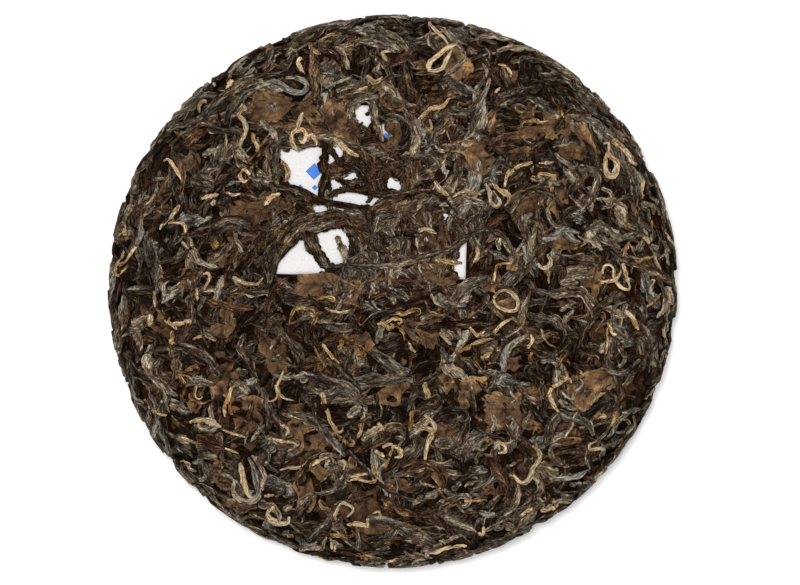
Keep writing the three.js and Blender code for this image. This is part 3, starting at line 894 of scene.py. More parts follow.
# The open leaves
# Leaves, and torn bits of leaves, that were never rolled. They dried flat and matt, and oxidised to a rusty
# brown, with the midrib and side veins still to be seen.
open_material, tree = new_material("oxidised_open_leaf")
where = add(tree, "ShaderNodeAttribute", attribute_name="leaf_place").outputs["Vector"]
leaf_tone = add(tree, "ShaderNodeAttribute", attribute_name="leaf_tone").outputs["Fac"]
xyz = add(tree, "ShaderNodeSeparateXYZ", {0: where})
from_midrib = add(tree, "ShaderNodeMath", {0: xyz.outputs[1]}, operation="ABSOLUTE").outputs[0]
wobble = add(tree, "ShaderNodeTexNoise", {"Vector": where, "Scale": 0.4, "Detail": 2.0}).outputs[0]
slant = add(tree, "ShaderNodeMath", {
    0: from_midrib, 1: 0.9, 2: xyz.outputs[0]}, operation="MULTIPLY_ADD").outputs[0]
bent = add(tree, "ShaderNodeMath", {0: wobble, 1: 3.0, 2: slant}, operation="MULTIPLY_ADD").outputs[0]
side_vein = add(tree, "ShaderNodeMath", {0: bent, 1: 1.3}, operation="PINGPONG").outputs[0]
side_line = add(tree, "ShaderNodeMapRange", {
    "Value": side_vein, "From Min": 0.0, "From Max": 0.3}).outputs[0]
midrib = add(tree, "ShaderNodeMapRange", {
    "Value": from_midrib, "From Min": 0.1, "From Max": 0.5}).outputs[0]
crinkle = add(tree, "ShaderNodeTexNoise", {
    "Vector": where, "Scale": 0.32, "Detail": 4.0, "Roughness": 0.55, "Distortion": 0.5}).outputs[0]
grain = add(tree, "ShaderNodeTexNoise", {"Vector": where, "Scale": 1.8, "Detail": 2.0}).outputs[0]
shade = leaf_tone
for pattern, middle, weight in (
        (crinkle, 0.5, 1.2), (grain, 0.5, 0.5), (side_line, 0.8, 0.12), (midrib, 0.9, 0.12)):
    offset = add(tree, "ShaderNodeMath", {0: pattern, 1: middle}, operation="SUBTRACT").outputs[0]
    shade = add(tree, "ShaderNodeMath", {
        0: offset, 1: weight, 2: shade}, operation="MULTIPLY_ADD").outputs[0]
tint = add(tree, "ShaderNodeValToRGB", {"Fac": shade}, stops=[
    (0.0, "#130a05"), (0.3, "#332214"), (0.6, "#533d29"), (0.85, "#6f5337"), (1.0, "#95744c")])
faint = add(tree, "ShaderNodeMath", {0: side_line, 1: 0.35}, operation="MULTIPLY").outputs[0]
relief = add(tree, "ShaderNodeMath", {0: crinkle, 1: 1.6, 2: faint}, operation="MULTIPLY_ADD").outputs[0]
bump = add(tree, "ShaderNodeBump", {"Height": relief, "Strength": 1.0, "Distance": 0.0005})
shader = add(tree, "ShaderNodeBsdfPrincipled", {
    "Base Color": tint.outputs[0], "Roughness": 0.8, "IOR": 1.45, "Specular IOR Level": 0.12,
    "Normal": bump.outputs[0]})
add(tree, "ShaderNodeOutputMaterial", {"Surface": shader.outputs[0]})
add_piece("open_leaves", opened.mesh("open_leaves"), open_material)

# The listed leaves
# The largest leaves on top of the face, stems and golden buds among them, laid one by one where the photo
# shows them. They went into the cloth first, so they lie outermost and bear the press's mark.


def through(points, steps):
    """A smooth line through points seen in the photo, with even steps."""
    points = unrolled(np.array(points, float) * NEARER)
    t = np.linspace(0, len(points) - 1, 12 * steps)
    span = np.minimum(t.astype(int), len(points) - 2)
    u = (t - span)[:, None]
    padded = np.concatenate([[2 * points[0] - points[1]], points, [2 * points[-1] - points[-2]]])
    before, start, end, after = (padded[span + k] for k in range(4))
    dense = 0.5 * (2 * start + (end - before) * u + (2 * before - 5 * start + 4 * end - after) * u ** 2
                   + (3 * start - 3 * end + after - before) * u ** 3)
    along = np.concatenate([[0], np.cumsum(np.hypot(*np.diff(dense, axis=0).T))])
    even = np.linspace(0, along[-1], steps)
    return np.stack([np.interp(even, along, dense[:, k]) for k in (0, 1)], 1)


OPEN_BY_EYE = [  # x, y, heading in degrees, length, width, tone
    (-40.4, 61, 10, 14, 10, 0.55), (-21.5, 1, -12, 21, 8, 0.6), (-18.9, 41, 20, 6, 4, 0.45),
    (5, 36, 90, 6, 4, 0.5), (14.5, 5.4, -20, 14, 6, 0.5), (5, 25, 20, 9, 7, 0.35),
    (-2.2, 63.7, 80, 7, 5, 0.55), (54.5, 54.8, 0, 9, 8, 0.6), (63.9, 50.2, -65, 12, 4.5, 0.65),
    (59.4, 45.9, 0, 8, 5, 0.5), (40.5, 51, 18, 18, 4, 0.5), (44.7, 57, 0, 5, 4, 0.55),
    (42.6, 45.5, 0, 7, 4.5, 0.45), (79.2, 25.9, -80, 9, 3.5, 0.5), (-10.7, -18, 30, 8, 7, 0.6),
    (17.4, -46.9, 10, 8, 5, 0.5), (36.7, -39.7, 0, 12, 11, 0.6), (39.6, -24.4, 0, 6.5, 4.5, 0.5),
    (40, 9.5, 80, 6, 4, 0.65), (58.3, -50.3, 0, 9, 3, 0.6), (-30, 60, 30, 8, 5, 0.4),
    (0, 50, 80, 12, 4.5, 0.5), (-68.3, 3.6, 60, 7, 6, 0.5), (-51.3, -3.2, 0, 6, 4.5, 0.6),
    (-56.4, -10.4, 80, 11, 7, 0.6), (56.5, 15.3, -10, 9, 3.5, 0.6), (-66, -37.7, 90, 6.4, 4, 0.55),
    (-57.9, -33, 20, 5, 4, 0.65), (-32.4, -40.2, 0, 5.5, 4.5, 0.55), (-58.3, -58.9, 60, 4, 3.4, 0.75),
    (-13.4, -57.3, 110, 4, 3, 0.8), (2.6, -65, -15, 10, 3.6, 0.5), (31.5, -66.7, 0, 4.5, 3.5, 0.6),
    (27, -31.8, 10, 9, 6, 0.7), (23.6, -36.4, 90, 6, 4, 0.65), (47.8, -31.3, 30, 5, 3, 0.55),
    (59.7, -31.3, 75, 7, 3.4, 0.7), (46.5, -45.2, 0, 6, 3, 0.65), (9, 75, 0, 5.5, 3, 0.7),
    (-66.5, 42.7, 80, 6, 4, 0.5), (46.6, 52.1, 0, 8, 4, 0.65), (53.8, 52.1, 0, 6, 3.4, 0.65)]
opened_by_eye = OpenLeaves()
face.spare = 0.35
for x, y, heading, length, width, tone in OPEN_BY_EYE:
    middle = unrolled(np.array([x, y]) * NEARER)
    opened_by_eye.lay(face, middle, math.radians(heading), length, width, tone)
add_piece("open_leaves_by_eye", opened_by_eye.mesh("open_leaves_by_eye"), open_material)

DARK_BY_EYE = [  # width, tone, points
    (2.6, 0.3, [(-41, 35), (-31.4, 33.3), (-24.2, 29.4), (-15.3, 28), (-9.3, 25.6), (-7.3, 19),
                (-7, 14.3), (-3.4, 12)]),
    (1.6, 0.25, [(-41, 36), (-34.6, 31.3), (-31.9, 29.6), (-27.7, 28.6)]),
    (2.4, 0.35, [(-21.2, 31), (-17.7, 33.2), (-9.3, 33), (-3.4, 31.6), (2.6, 32.1), (11.5, 32.7),
                 (17.5, 29.8), (21.6, 25)]),
    (2.4, 0.3, [(-7, 22), (-6.4, 26.5), (-3, 29.2), (2, 30.5), (8.5, 32.1)]),
    (2.8, 0.25, [(-23, 49.5), (-22.4, 45.8), (-23.3, 42), (-22.2, 38), (-23.3, 34.6), (-24.2, 31)]),
    (4.4, 0.5, [(-41, 2.4), (-39.1, 10.1), (-35.5, 16.1), (-31.4, 20.8), (-24.8, 23.8), (-17.7, 25.4),
                (-13.5, 21.5)]),
    (3.6, 0.4, [(-30.2, 19), (-27.2, 14.9), (-24.8, 11.3), (-22.2, 7.5)]),
    (2.5, 0.4, [(-22.2, -23.1), (-16.2, -27.8), (-10.3, -33.7)]),
    (2.2, 0.3, [(-19, 37), (-14, 35.5), (-10, 36.5), (-6, 33)]),
    (2.5, 0.3, [(-21, 47), (-17, 42), (-12.5, 40), (-9, 36)]),
    (1.8, 0.4, [(-62.4, 7.9), (-67.9, -1.5)]),
    (2.8, 0.5, [(-56.4, -1), (-50.9, 0.2), (-46.6, -1), (-41.5, -0.2)]),
    (4.0, 0.4, [(74.8, -0.5), (68.8, -5.6), (63.7, -13.2), (60.7, -20.9)]),
    (2.5, 0.5, [(47.1, 11), (42.9, 5), (39.5, 1.2)]),
    (1.6, 0.45, [(-56.2, -50.8), (-52.4, -47.9), (-49.4, -44.5), (-47.3, -39.8), (-46.9, -36.8)]),
    (1.6, 0.5, [(-32.8, -75.9), (-30.7, -71.7), (-27.3, -68.3), (-22.2, -67.4)]),
    (1.4, 0.4, [(-14.8, -53.5), (-11.9, -56.5), (-8, -60.3), (-5.5, -63.3), (-1.2, -66.7), (5.1, -69.6),
                (11.1, -70.5)]),
    (0.9, 0.35, [(43.2, -35.2), (43.2, -38.6), (44.4, -41.1)]),
    (3.2, 0.45, [(-19.9, 62.7), (-14, 64.8), (-8.9, 65.7), (-4.6, 68.6), (-0.4, 71.2)]),
    (3.0, 0.5, [(-78.4, 49.5), (-75.5, 52.4), (-70.4, 55.4), (-65.3, 57.1)]),
    (1.6, 0.55, [(-75.5, 47.8), (-71.2, 51.2), (-66.5, 53.7), (-64, 55.4), (-59.7, 54.6), (-55.5, 52.4)]),
    (1.1, 0.4, [(72.9, 29.1), (76.3, 30.4), (79.3, 32.1)]),
    (3.0, 0.5, [(79.7, 38.9), (80.6, 34.2), (81, 27.8)]),
]
RUSTY_BY_EYE = [
    (2.5, 0.5, [(-64.5, -1.9), (-59.4, -4), (-53, -5.7), (-46.6, -6.1)]),
    (1.8, 0.4, [(-34.7, 4.5), (-39, 1.1), (-41.3, -4), (-42.4, -11.2)]),
    (3.0, 0.55, [(32.3, 47), (35.3, 50), (42.3, 50.6)]),
    (4.0, 0.45, [(-65.1, -48.3), (-60.8, -50.6), (-56.2, -53)]),
    (3.0, 0.65, [(-61.3, -61.5), (-57.9, -63.6), (-54.1, -66.1)]),
    (4.5, 0.65, [(-61.3, -67.8), (-57.1, -70), (-51.5, -72.1), (-45.2, -72.1)]),
    (1.8, 0.5, [(-37.5, -60.6), (-34.1, -57.6), (-30.7, -56.4), (-30.3, -59.8), (-32, -63.2),
                (-31.1, -67)]),
    (2.2, 0.55, [(-12.7, -53.9), (-8.9, -52.2), (-3.8, -50.5), (1.3, -48.8)]),
    (2.2, 0.5, [(3, -59), (7.3, -57.3), (11.5, -57.7), (14.9, -59.8), (17, -63.7), (17, -65.8)]),
    (2.4, 0.5, [(-3.8, -68.8), (-0.4, -70.5), (2.6, -73.5), (7.3, -74.7), (11.9, -74.3), (15.8, -70.9)]),
    (1.3, 0.55, [(-1.2, -81.1), (1.7, -78.6), (6.4, -77.3)]),
    (1.4, 0.7, [(7.7, -85.4), (11.5, -84.1)]),
    (3.0, 0.5, [(32.5, -56.4), (35.1, -60.7), (37.2, -64.9), (38.1, -69.2)]),
    (1.2, 0.6, [(75.9, -31.8), (76.3, -35.2), (73.3, -39)]),
    (2.5, 0.45, [(46.1, -67.1), (47, -71.7)]),
    (3.0, 0.45, [(51.2, -67.5), (51.7, -71.7)]),
    (3.4, 0.7, [(-26.7, 80.5), (-26.3, 75.9), (-26.7, 71.2), (-26.3, 66.1), (-29.7, 62.7)]),
    (3.0, 0.7, [(-24.6, 81.4), (-20.4, 82.7)]),
    (2.0, 0.6, [(-16, 83.4), (-12.2, 84)]),
    (3.4, 0.45, [(-1.2, 74.6), (3, 77.1), (7.3, 80.5)]),
    (1.6, 0.55, [(-4.6, 66.1), (-3.8, 62.7), (-1.2, 60.6), (2.2, 60.1), (3.9, 61.8), (3, 65.2)]),
    (3.4, 0.5, [(-69.1, 48.6), (-65.3, 51.6), (-61.9, 52.9)]),
    (2.0, 0.5, [(-72.5, 46.1), (-70.4, 40.5), (-69.9, 36.3), (-70.8, 32)]),
    (1.8, 0.55, [(-78.4, 29.9), (-75.5, 35.9), (-74.2, 38.4)]),
]
GREY_BY_EYE = [
    (2.6, 0.8, [(-18.6, 17.8), (-17.5, 15.1), (-16.2, 12.4), (-16.1, 9)]),
    (2.2, 0.5, [(-24.2, 7.6), (-14.1, 8.3), (-3.4, 8.1), (5.5, 9.5), (13.3, 12.2), (19.2, 13.7),
                (24.5, 17.6), (29.7, 20.1), (34.5, 19), (38.4, 16.2), (40, 11.5)]),
    (2.4, 0.55, [(-7, 62.8), (-6.2, 58), (-4.8, 54), (-3.4, 49.5)]),
    (3.2, 0.6, [(3.6, 60.3), (6.7, 55.9), (8.1, 51.2), (6.7, 46.2), (8.3, 44.3), (11.9, 44.8),
                (14.4, 42.9), (15.5, 40.7)]),
    (7.5, 0.6, [(9.8, 57.5), (10.8, 52), (10.2, 46)]),
    (2.6, 0.55, [(18.3, 59.2), (22.2, 58.6), (25.8, 59.7), (28.2, 63.3)]),
    (2.8, 0.6, [(29.1, 60), (27.1, 55.9), (25.8, 52.3), (23, 49.5)]),
    (3.5, 0.7, [(20, 27.5), (23.3, 29.5), (27.5, 29.2), (30.5, 28.7)]),
    (1.5, 0.8, [(54.1, 45.5), (55.4, 43.8), (57.9, 42.1), (60.5, 40.4)]),
    (2.4, 0.6, [(57.9, 57.8), (63, 57), (68.1, 55.7), (70.2, 53.1), (68.5, 49.7)]),
    (3.0, 0.6, [(62.3, 40.2), (66.1, 39.7), (68.3, 37.6), (67.4, 34.2), (66.1, 30.4), (64.9, 27)]),
    (2.0, 0.45, [(39.2, 25.9), (43, 31.4), (48.1, 33.1), (52.8, 31.4), (56.6, 28)]),
    (1.7, 0.75, [(52.8, 29.3), (51.5, 25.9), (54.1, 21.2), (62.2, 19.5)]),
    (3.0, 0.65, [(64.3, 20), (69.8, 21.2), (74.9, 17.4), (80, 18.3)]),
    (4.0, 0.85, [(64.7, 19.1), (67.3, 16.6), (69.8, 13.6)]),
    (5.0, 0.5, [(-29.4, -27.8), (-21.3, -30.3), (-15.4, -32.5), (-9.4, -37.6)]),
    (3.5, 0.55, [(-36.6, -40.5), (-28.5, -42.7), (-22.2, -47.8), (-15.8, -55.4)]),
    (4.0, 0.5, [(-12.4, -30.3), (-3, -29.9), (5.9, -28.2)]),
    (3.0, 0.85, [(-10.7, -38.8), (-14.9, -42.2)]),
    (3.4, 0.6, [(55.1, -40.7), (58.5, -42.4), (62.7, -43.3), (65.3, -45.4), (66.6, -48.4)]),
    (2.0, 0.55, [(43.9, -34.2), (49.4, -38.8)]),
    (1.5, 0.65, [(69.4, -26.1), (73.6, -27.8), (77.9, -27.4), (82.1, -23.1)]),
    (2.0, 0.8, [(-45.7, 66.8), (-39.3, 69.3), (-34.2, 66.3), (-30, 65.9), (-28.7, 68.5), (-32.1, 70.6),
                (-35.5, 70.6)]),
    (5.0, 0.7, [(-70.4, 22.7), (-65.4, 23.6), (-60.4, 24.5)]),
    (4.7, 0.55, [(-81.5, 19.4), (-80.7, 13), (-79.4, 6.6), (-78.5, -1)]),
    (1.8, 0.85, [(-76.8, -4.4), (-74.5, -1.5)]),
    (1.8, 0.8, [(-66.2, 13), (-64.5, 9.6), (-61.1, 8.3), (-58.1, 7.5)]),
    (2.5, 0.6, [(-61.5, 8.7), (-57.7, 11.7), (-53.5, 15.5)]),
    (2.6, 0.9, [(-56.6, 4.5), (-59, -3.2)]),
    (4.0, 0.5, [(-93.4, 15.1), (-87, 19.4)]),
    (1.0, 0.6, [(67.5, 4.6), (67.1, 7.2), (69.2, 10.2), (65.8, 13.1)]),
    (1.3, 0.6, [(76.5, 11), (78.6, 15.7), (81.1, 18.2)]),
    (2.5, 0.8, [(49.7, 17), (53.9, 17.8), (56.5, 19.9), (62.4, 19.1)]),
    (2.6, 0.55, [(48, -0.1), (53.9, -1.3), (62, -0.9), (65, -3.9), (66.7, -9)]),
    (5.5, 0.6, [(17, -12), (20, -14.1), (23, -16.5)]),
    (1.8, 0.85, [(69.2, -20.9), (70.1, -18.3), (73.1, -17.1)]),
    (5.5, 0.6, [(73, -12), (80, -17.8)]),
    (1.2, 0.6, [(73.5, -14.1), (73.1, -9.8), (74.3, -5.2), (77.7, -3.9)]),
    (1.9, 0.8, [(-52.4, -63.2), (-53.2, -66.6), (-51.5, -69.1), (-48.6, -70.2), (-45.6, -69.5),
                (-44.7, -67.4), (-45.6, -62.3), (-46.9, -58.1), (-48.1, -55.9)]),
    (1.6, 0.75, [(-46.9, -55.1), (-45.2, -57.2), (-43.5, -59.8), (-42.6, -62.3), (-43.5, -65.3),
                 (-43, -67.4)]),
    (1.2, 0.65, [(-40.9, -61.5), (-37.9, -63.2), (-36.2, -65.7), (-37.1, -67.8), (-39.2, -68.7)]),
    (1.3, 0.75, [(-47.3, -50.4), (-44.7, -47), (-42.6, -44.9)]),
    (1.8, 0.7, [(-66.8, -57.6), (-63.9, -57.2), (-62.2, -59.8), (-62.6, -62.3), (-67.3, -62.7),
                (-70.7, -60.2)]),
    (2.5, 0.65, [(-43.5, -32.6), (-42.6, -36.4), (-42, -40.2)]),
    (3.5, 0.7, [(-68, -30.2), (-60, -31.4)]),
    (3.0, 0.65, [(-53.7, -30.4), (-50.3, -32.6), (-47.3, -34)]),
    (1.0, 0.7, [(-78.3, -30.4), (-76.6, -33.4), (-75.3, -37.2), (-74.5, -40.6)]),
    (1.5, 0.6, [(-80.9, -34.7), (-79.2, -37.2), (-78.7, -39.4)]),
    (1.6, 0.55, [(-31, -69.2), (-27.6, -67.9), (-22.5, -67.5), (-18.7, -65.8), (-16.5, -63.2),
                 (-16.1, -59.4)]),
    (4.4, 0.65, [(14.2, -50.9), (20, -51)]),
    (3.0, 0.6, [(25.1, -50.5), (23.8, -57.3)]),
    (3.0, 0.65, [(25.5, -59.9), (31.5, -60.3)]),
    (1.7, 0.6, [(17, -58.1), (20.9, -58.1), (24.3, -59.9)]),
    (3.0, 0.9, [(34, -49.5), (35.5, -53)]),
    (0.8, 0.65, [(-19.9, -77.3), (-19.5, -79.4), (-15.3, -79.4)]),
    (1.8, 0.55, [(-29.7, -84.9), (-25.9, -80.7), (-21.6, -76.9), (-19.1, -72.2)]),
    (1.3, 0.65, [(-12.3, -79.8), (-11.4, -83.7), (-11.7, -86.6)]),
    (2.4, 0.75, [(17.5, -76), (20.9, -76.9), (25.5, -79), (27.7, -80.3)]),
    (1.5, 0.7, [(30.2, -80.3), (32.8, -79), (35.7, -78.1)]),
    (1.4, 0.8, [(13.6, -85.8), (17.5, -84.5), (20, -82.4), (23, -81.5)]),
    (2.0, 0.85, [(29, -74), (31.5, -74.7), (34.5, -74.6)]),
    (2.6, 0.6, [(28.7, -27.1), (33.8, -27.9), (37.2, -27.5)]),
    (3.5, 0.6, [(36.4, -30.5), (41.9, -30.9)]),
    (1.2, 0.8, [(55.9, -33.5), (57.6, -35.2), (59.7, -36.4), (60.6, -34.3), (63.1, -31.3),
                (61.9, -29.2)]),
    (2.2, 0.9, [(55.5, -36.6), (58, -38.6), (61, -39.8)]),
    (3.8, 0.5, [(55.1, -42), (52.9, -45.4), (51.7, -48.8), (50.8, -51.8)]),
    (1.6, 0.7, [(55.9, -51.8), (53.4, -51.8), (52.5, -54.3), (54.6, -56.9), (56.3, -58.1)]),
    (1.5, 0.7, [(41.5, -64.5), (41.9, -67.9), (41, -70.9), (38.9, -73.4), (37.2, -75.1)]),
    (2.0, 0.9, [(54, -62.8), (58.5, -62.4), (62.3, -61.5), (65.3, -59.8)]),
    (0.9, 0.7, [(65.3, -59.4), (64, -56), (64.4, -53)]),
    (5.0, 0.6, [(49, -58.5), (54.3, -62)]),
    (0.8, 0.75, [(27.4, -51.3), (30, -54.7)]),
    (1.0, 0.8, [(75.5, -43.7), (78.5, -43.7), (79.3, -45.8), (77.2, -47.5), (73.3, -47.9)]),
    (0.9, 0.7, [(67, -37.3), (67.8, -34.7), (70.4, -32.6), (72.9, -31.3)]),
    (3.0, 0.6, [(56, -68), (60, -70)]),
    (1.6, 0.8, [(-20.8, 89.5), (-17.8, 88.6), (-14, 88.2)]),
    (1.6, 0.85, [(-14.4, 86.9), (-11.4, 88), (-8, 88), (-5.1, 86.9)]),
    (2.6, 0.6, [(-14.8, 86.5), (-9.7, 86.1), (-4.6, 84.8), (-0.4, 82.2), (3, 79.7)]),
    (2.6, 0.65, [(-11, 82.7), (-7.2, 82.2), (-2.1, 81), (2.6, 79.3)]),
    (2.2, 0.6, [(-4.6, 87.8), (-2.9, 85.7), (0.4, 84.4), (3, 81.8), (5, 79.5)]),
    (1.0, 0.7, [(-2.9, 89), (-1.2, 90.5), (1.3, 89.5), (0.5, 87.8), (-1.7, 87.6)]),
    (2.0, 0.5, [(0.5, 91.6), (3, 89.5), (7.3, 89), (11.1, 89.7)]),
    (1.8, 0.75, [(13.6, 89.9), (16.6, 86.9), (20, 83.9), (23, 81.8)]),
    (1.6, 0.7, [(21.3, 81), (23.8, 78.4), (23.4, 76.3), (20, 72.9), (17, 71.2)]),
    (4.6, 0.6, [(18.5, 86.5), (25.5, 84.8)]),
    (3.4, 0.6, [(-23.5, 72.5), (-17, 72.1)]),
    (1.0, 0.9, [(-22.5, 67.4), (-19.5, 68.6), (-16.5, 69.9), (-13.6, 70.8)]),
    (1.6, 0.75, [(-18.7, 66.1), (-15.3, 67.4), (-11.4, 68.6)]),
    (1.6, 0.75, [(32.3, 70.3), (31, 66.5), (29, 62)]),
    (1.0, 0.75, [(29.8, 75.4), (31.1, 72.9), (31.1, 70.3)]),
    (2.0, 0.65, [(27.7, 84.8), (31.5, 84.8), (35.7, 83.1)]),
    (1.2, 0.55, [(28.5, 79.7), (30.7, 80.8), (32.4, 78.8), (31.9, 75.9)]),
    (3.0, 0.7, [(-40.5, 62.5), (-39.8, 59)]),
    (2.8, 0.5, [(-57.6, 64.3), (-53.4, 66), (-49.5, 68.6), (-44.9, 69)]),
    (3.0, 0.5, [(-55.5, 55.4), (-54.6, 58.4), (-52.1, 61.8), (-49.1, 65.2), (-44.9, 66.9)]),
    (2.4, 0.85, [(-63.6, 69), (-61.4, 67.8)]),
    (1.0, 0.75, [(-49, 73), (-47, 74), (-45.5, 72.5)]),
    (2.0, 0.85, [(-63.6, 44.8), (-58.5, 46.9)]),
    (6.5, 0.5, [(-66.8, 37), (-59.8, 34.6)]),
    (1.4, 0.6, [(-61.5, 40.1), (-58.5, 40.5), (-56.8, 42.7)]),
    (1.0, 0.65, [(-55.5, 52), (-55.5, 47.3), (-55.9, 43.5), (-53.4, 44.8), (-53.4, 49.5)]),
    (2.4, 0.8, [(-44, 56.3), (-41.5, 54.1), (-39.3, 51.6), (-38.1, 48.6)]),
    (1.8, 0.55, [(-38.1, 47.3), (-38.9, 43.1), (-39.5, 37.3)]),
    (3.2, 0.7, [(-45, 36.8), (-40.6, 36.2)]),
    (1.0, 0.75, [(-80.1, 36.7), (-75.9, 37.1)]),
    (2.4, 0.8, [(56.8, 40.2), (58.9, 38.4), (60.6, 36.3)]),
    (2.4, 0.9, [(46.2, 37.2), (50.4, 36.8)]),
    (1.2, 0.8, [(52.1, 36.7), (55.5, 35)]),
    (1.3, 0.65, [(69.5, 33.8), (72.1, 32.5), (72.9, 29.5), (71.7, 27.8), (67.4, 27.4)]),
    (1.2, 0.75, [(58.9, 31.6), (61, 29.5), (64, 26.1)]),
    (3.4, 0.75, [(59.8, 25), (64.5, 22.5)]),
    (2.6, 0.6, [(68.7, 18), (72.1, 15.9), (75.5, 13.8)]),
    (1.4, 0.75, [(84.4, 36.3), (87, 32.9), (89.5, 28.2)]),
    (1.1, 0.7, [(85.3, 27), (85.7, 22.7)]),
    (1.0, 0.75, [(83.1, 20.2), (84.9, 18)]),
    (2.4, 0.6, [(81.4, 12.9), (83.1, 16.8)]),
    (1.2, 0.7, [(87, 12.5), (87.4, 9.1), (89.5, 6.6)]),
    (1.4, 0.7, [(88.7, 10.4), (92.9, 12.5)]),
    (1.4, 0.75, [(45.7, 12.1), (46.2, 15.9), (47, 19.3), (47.9, 23.6)]),
    (2.4, 0.75, [(68.5, 53), (69.5, 50)]),
]
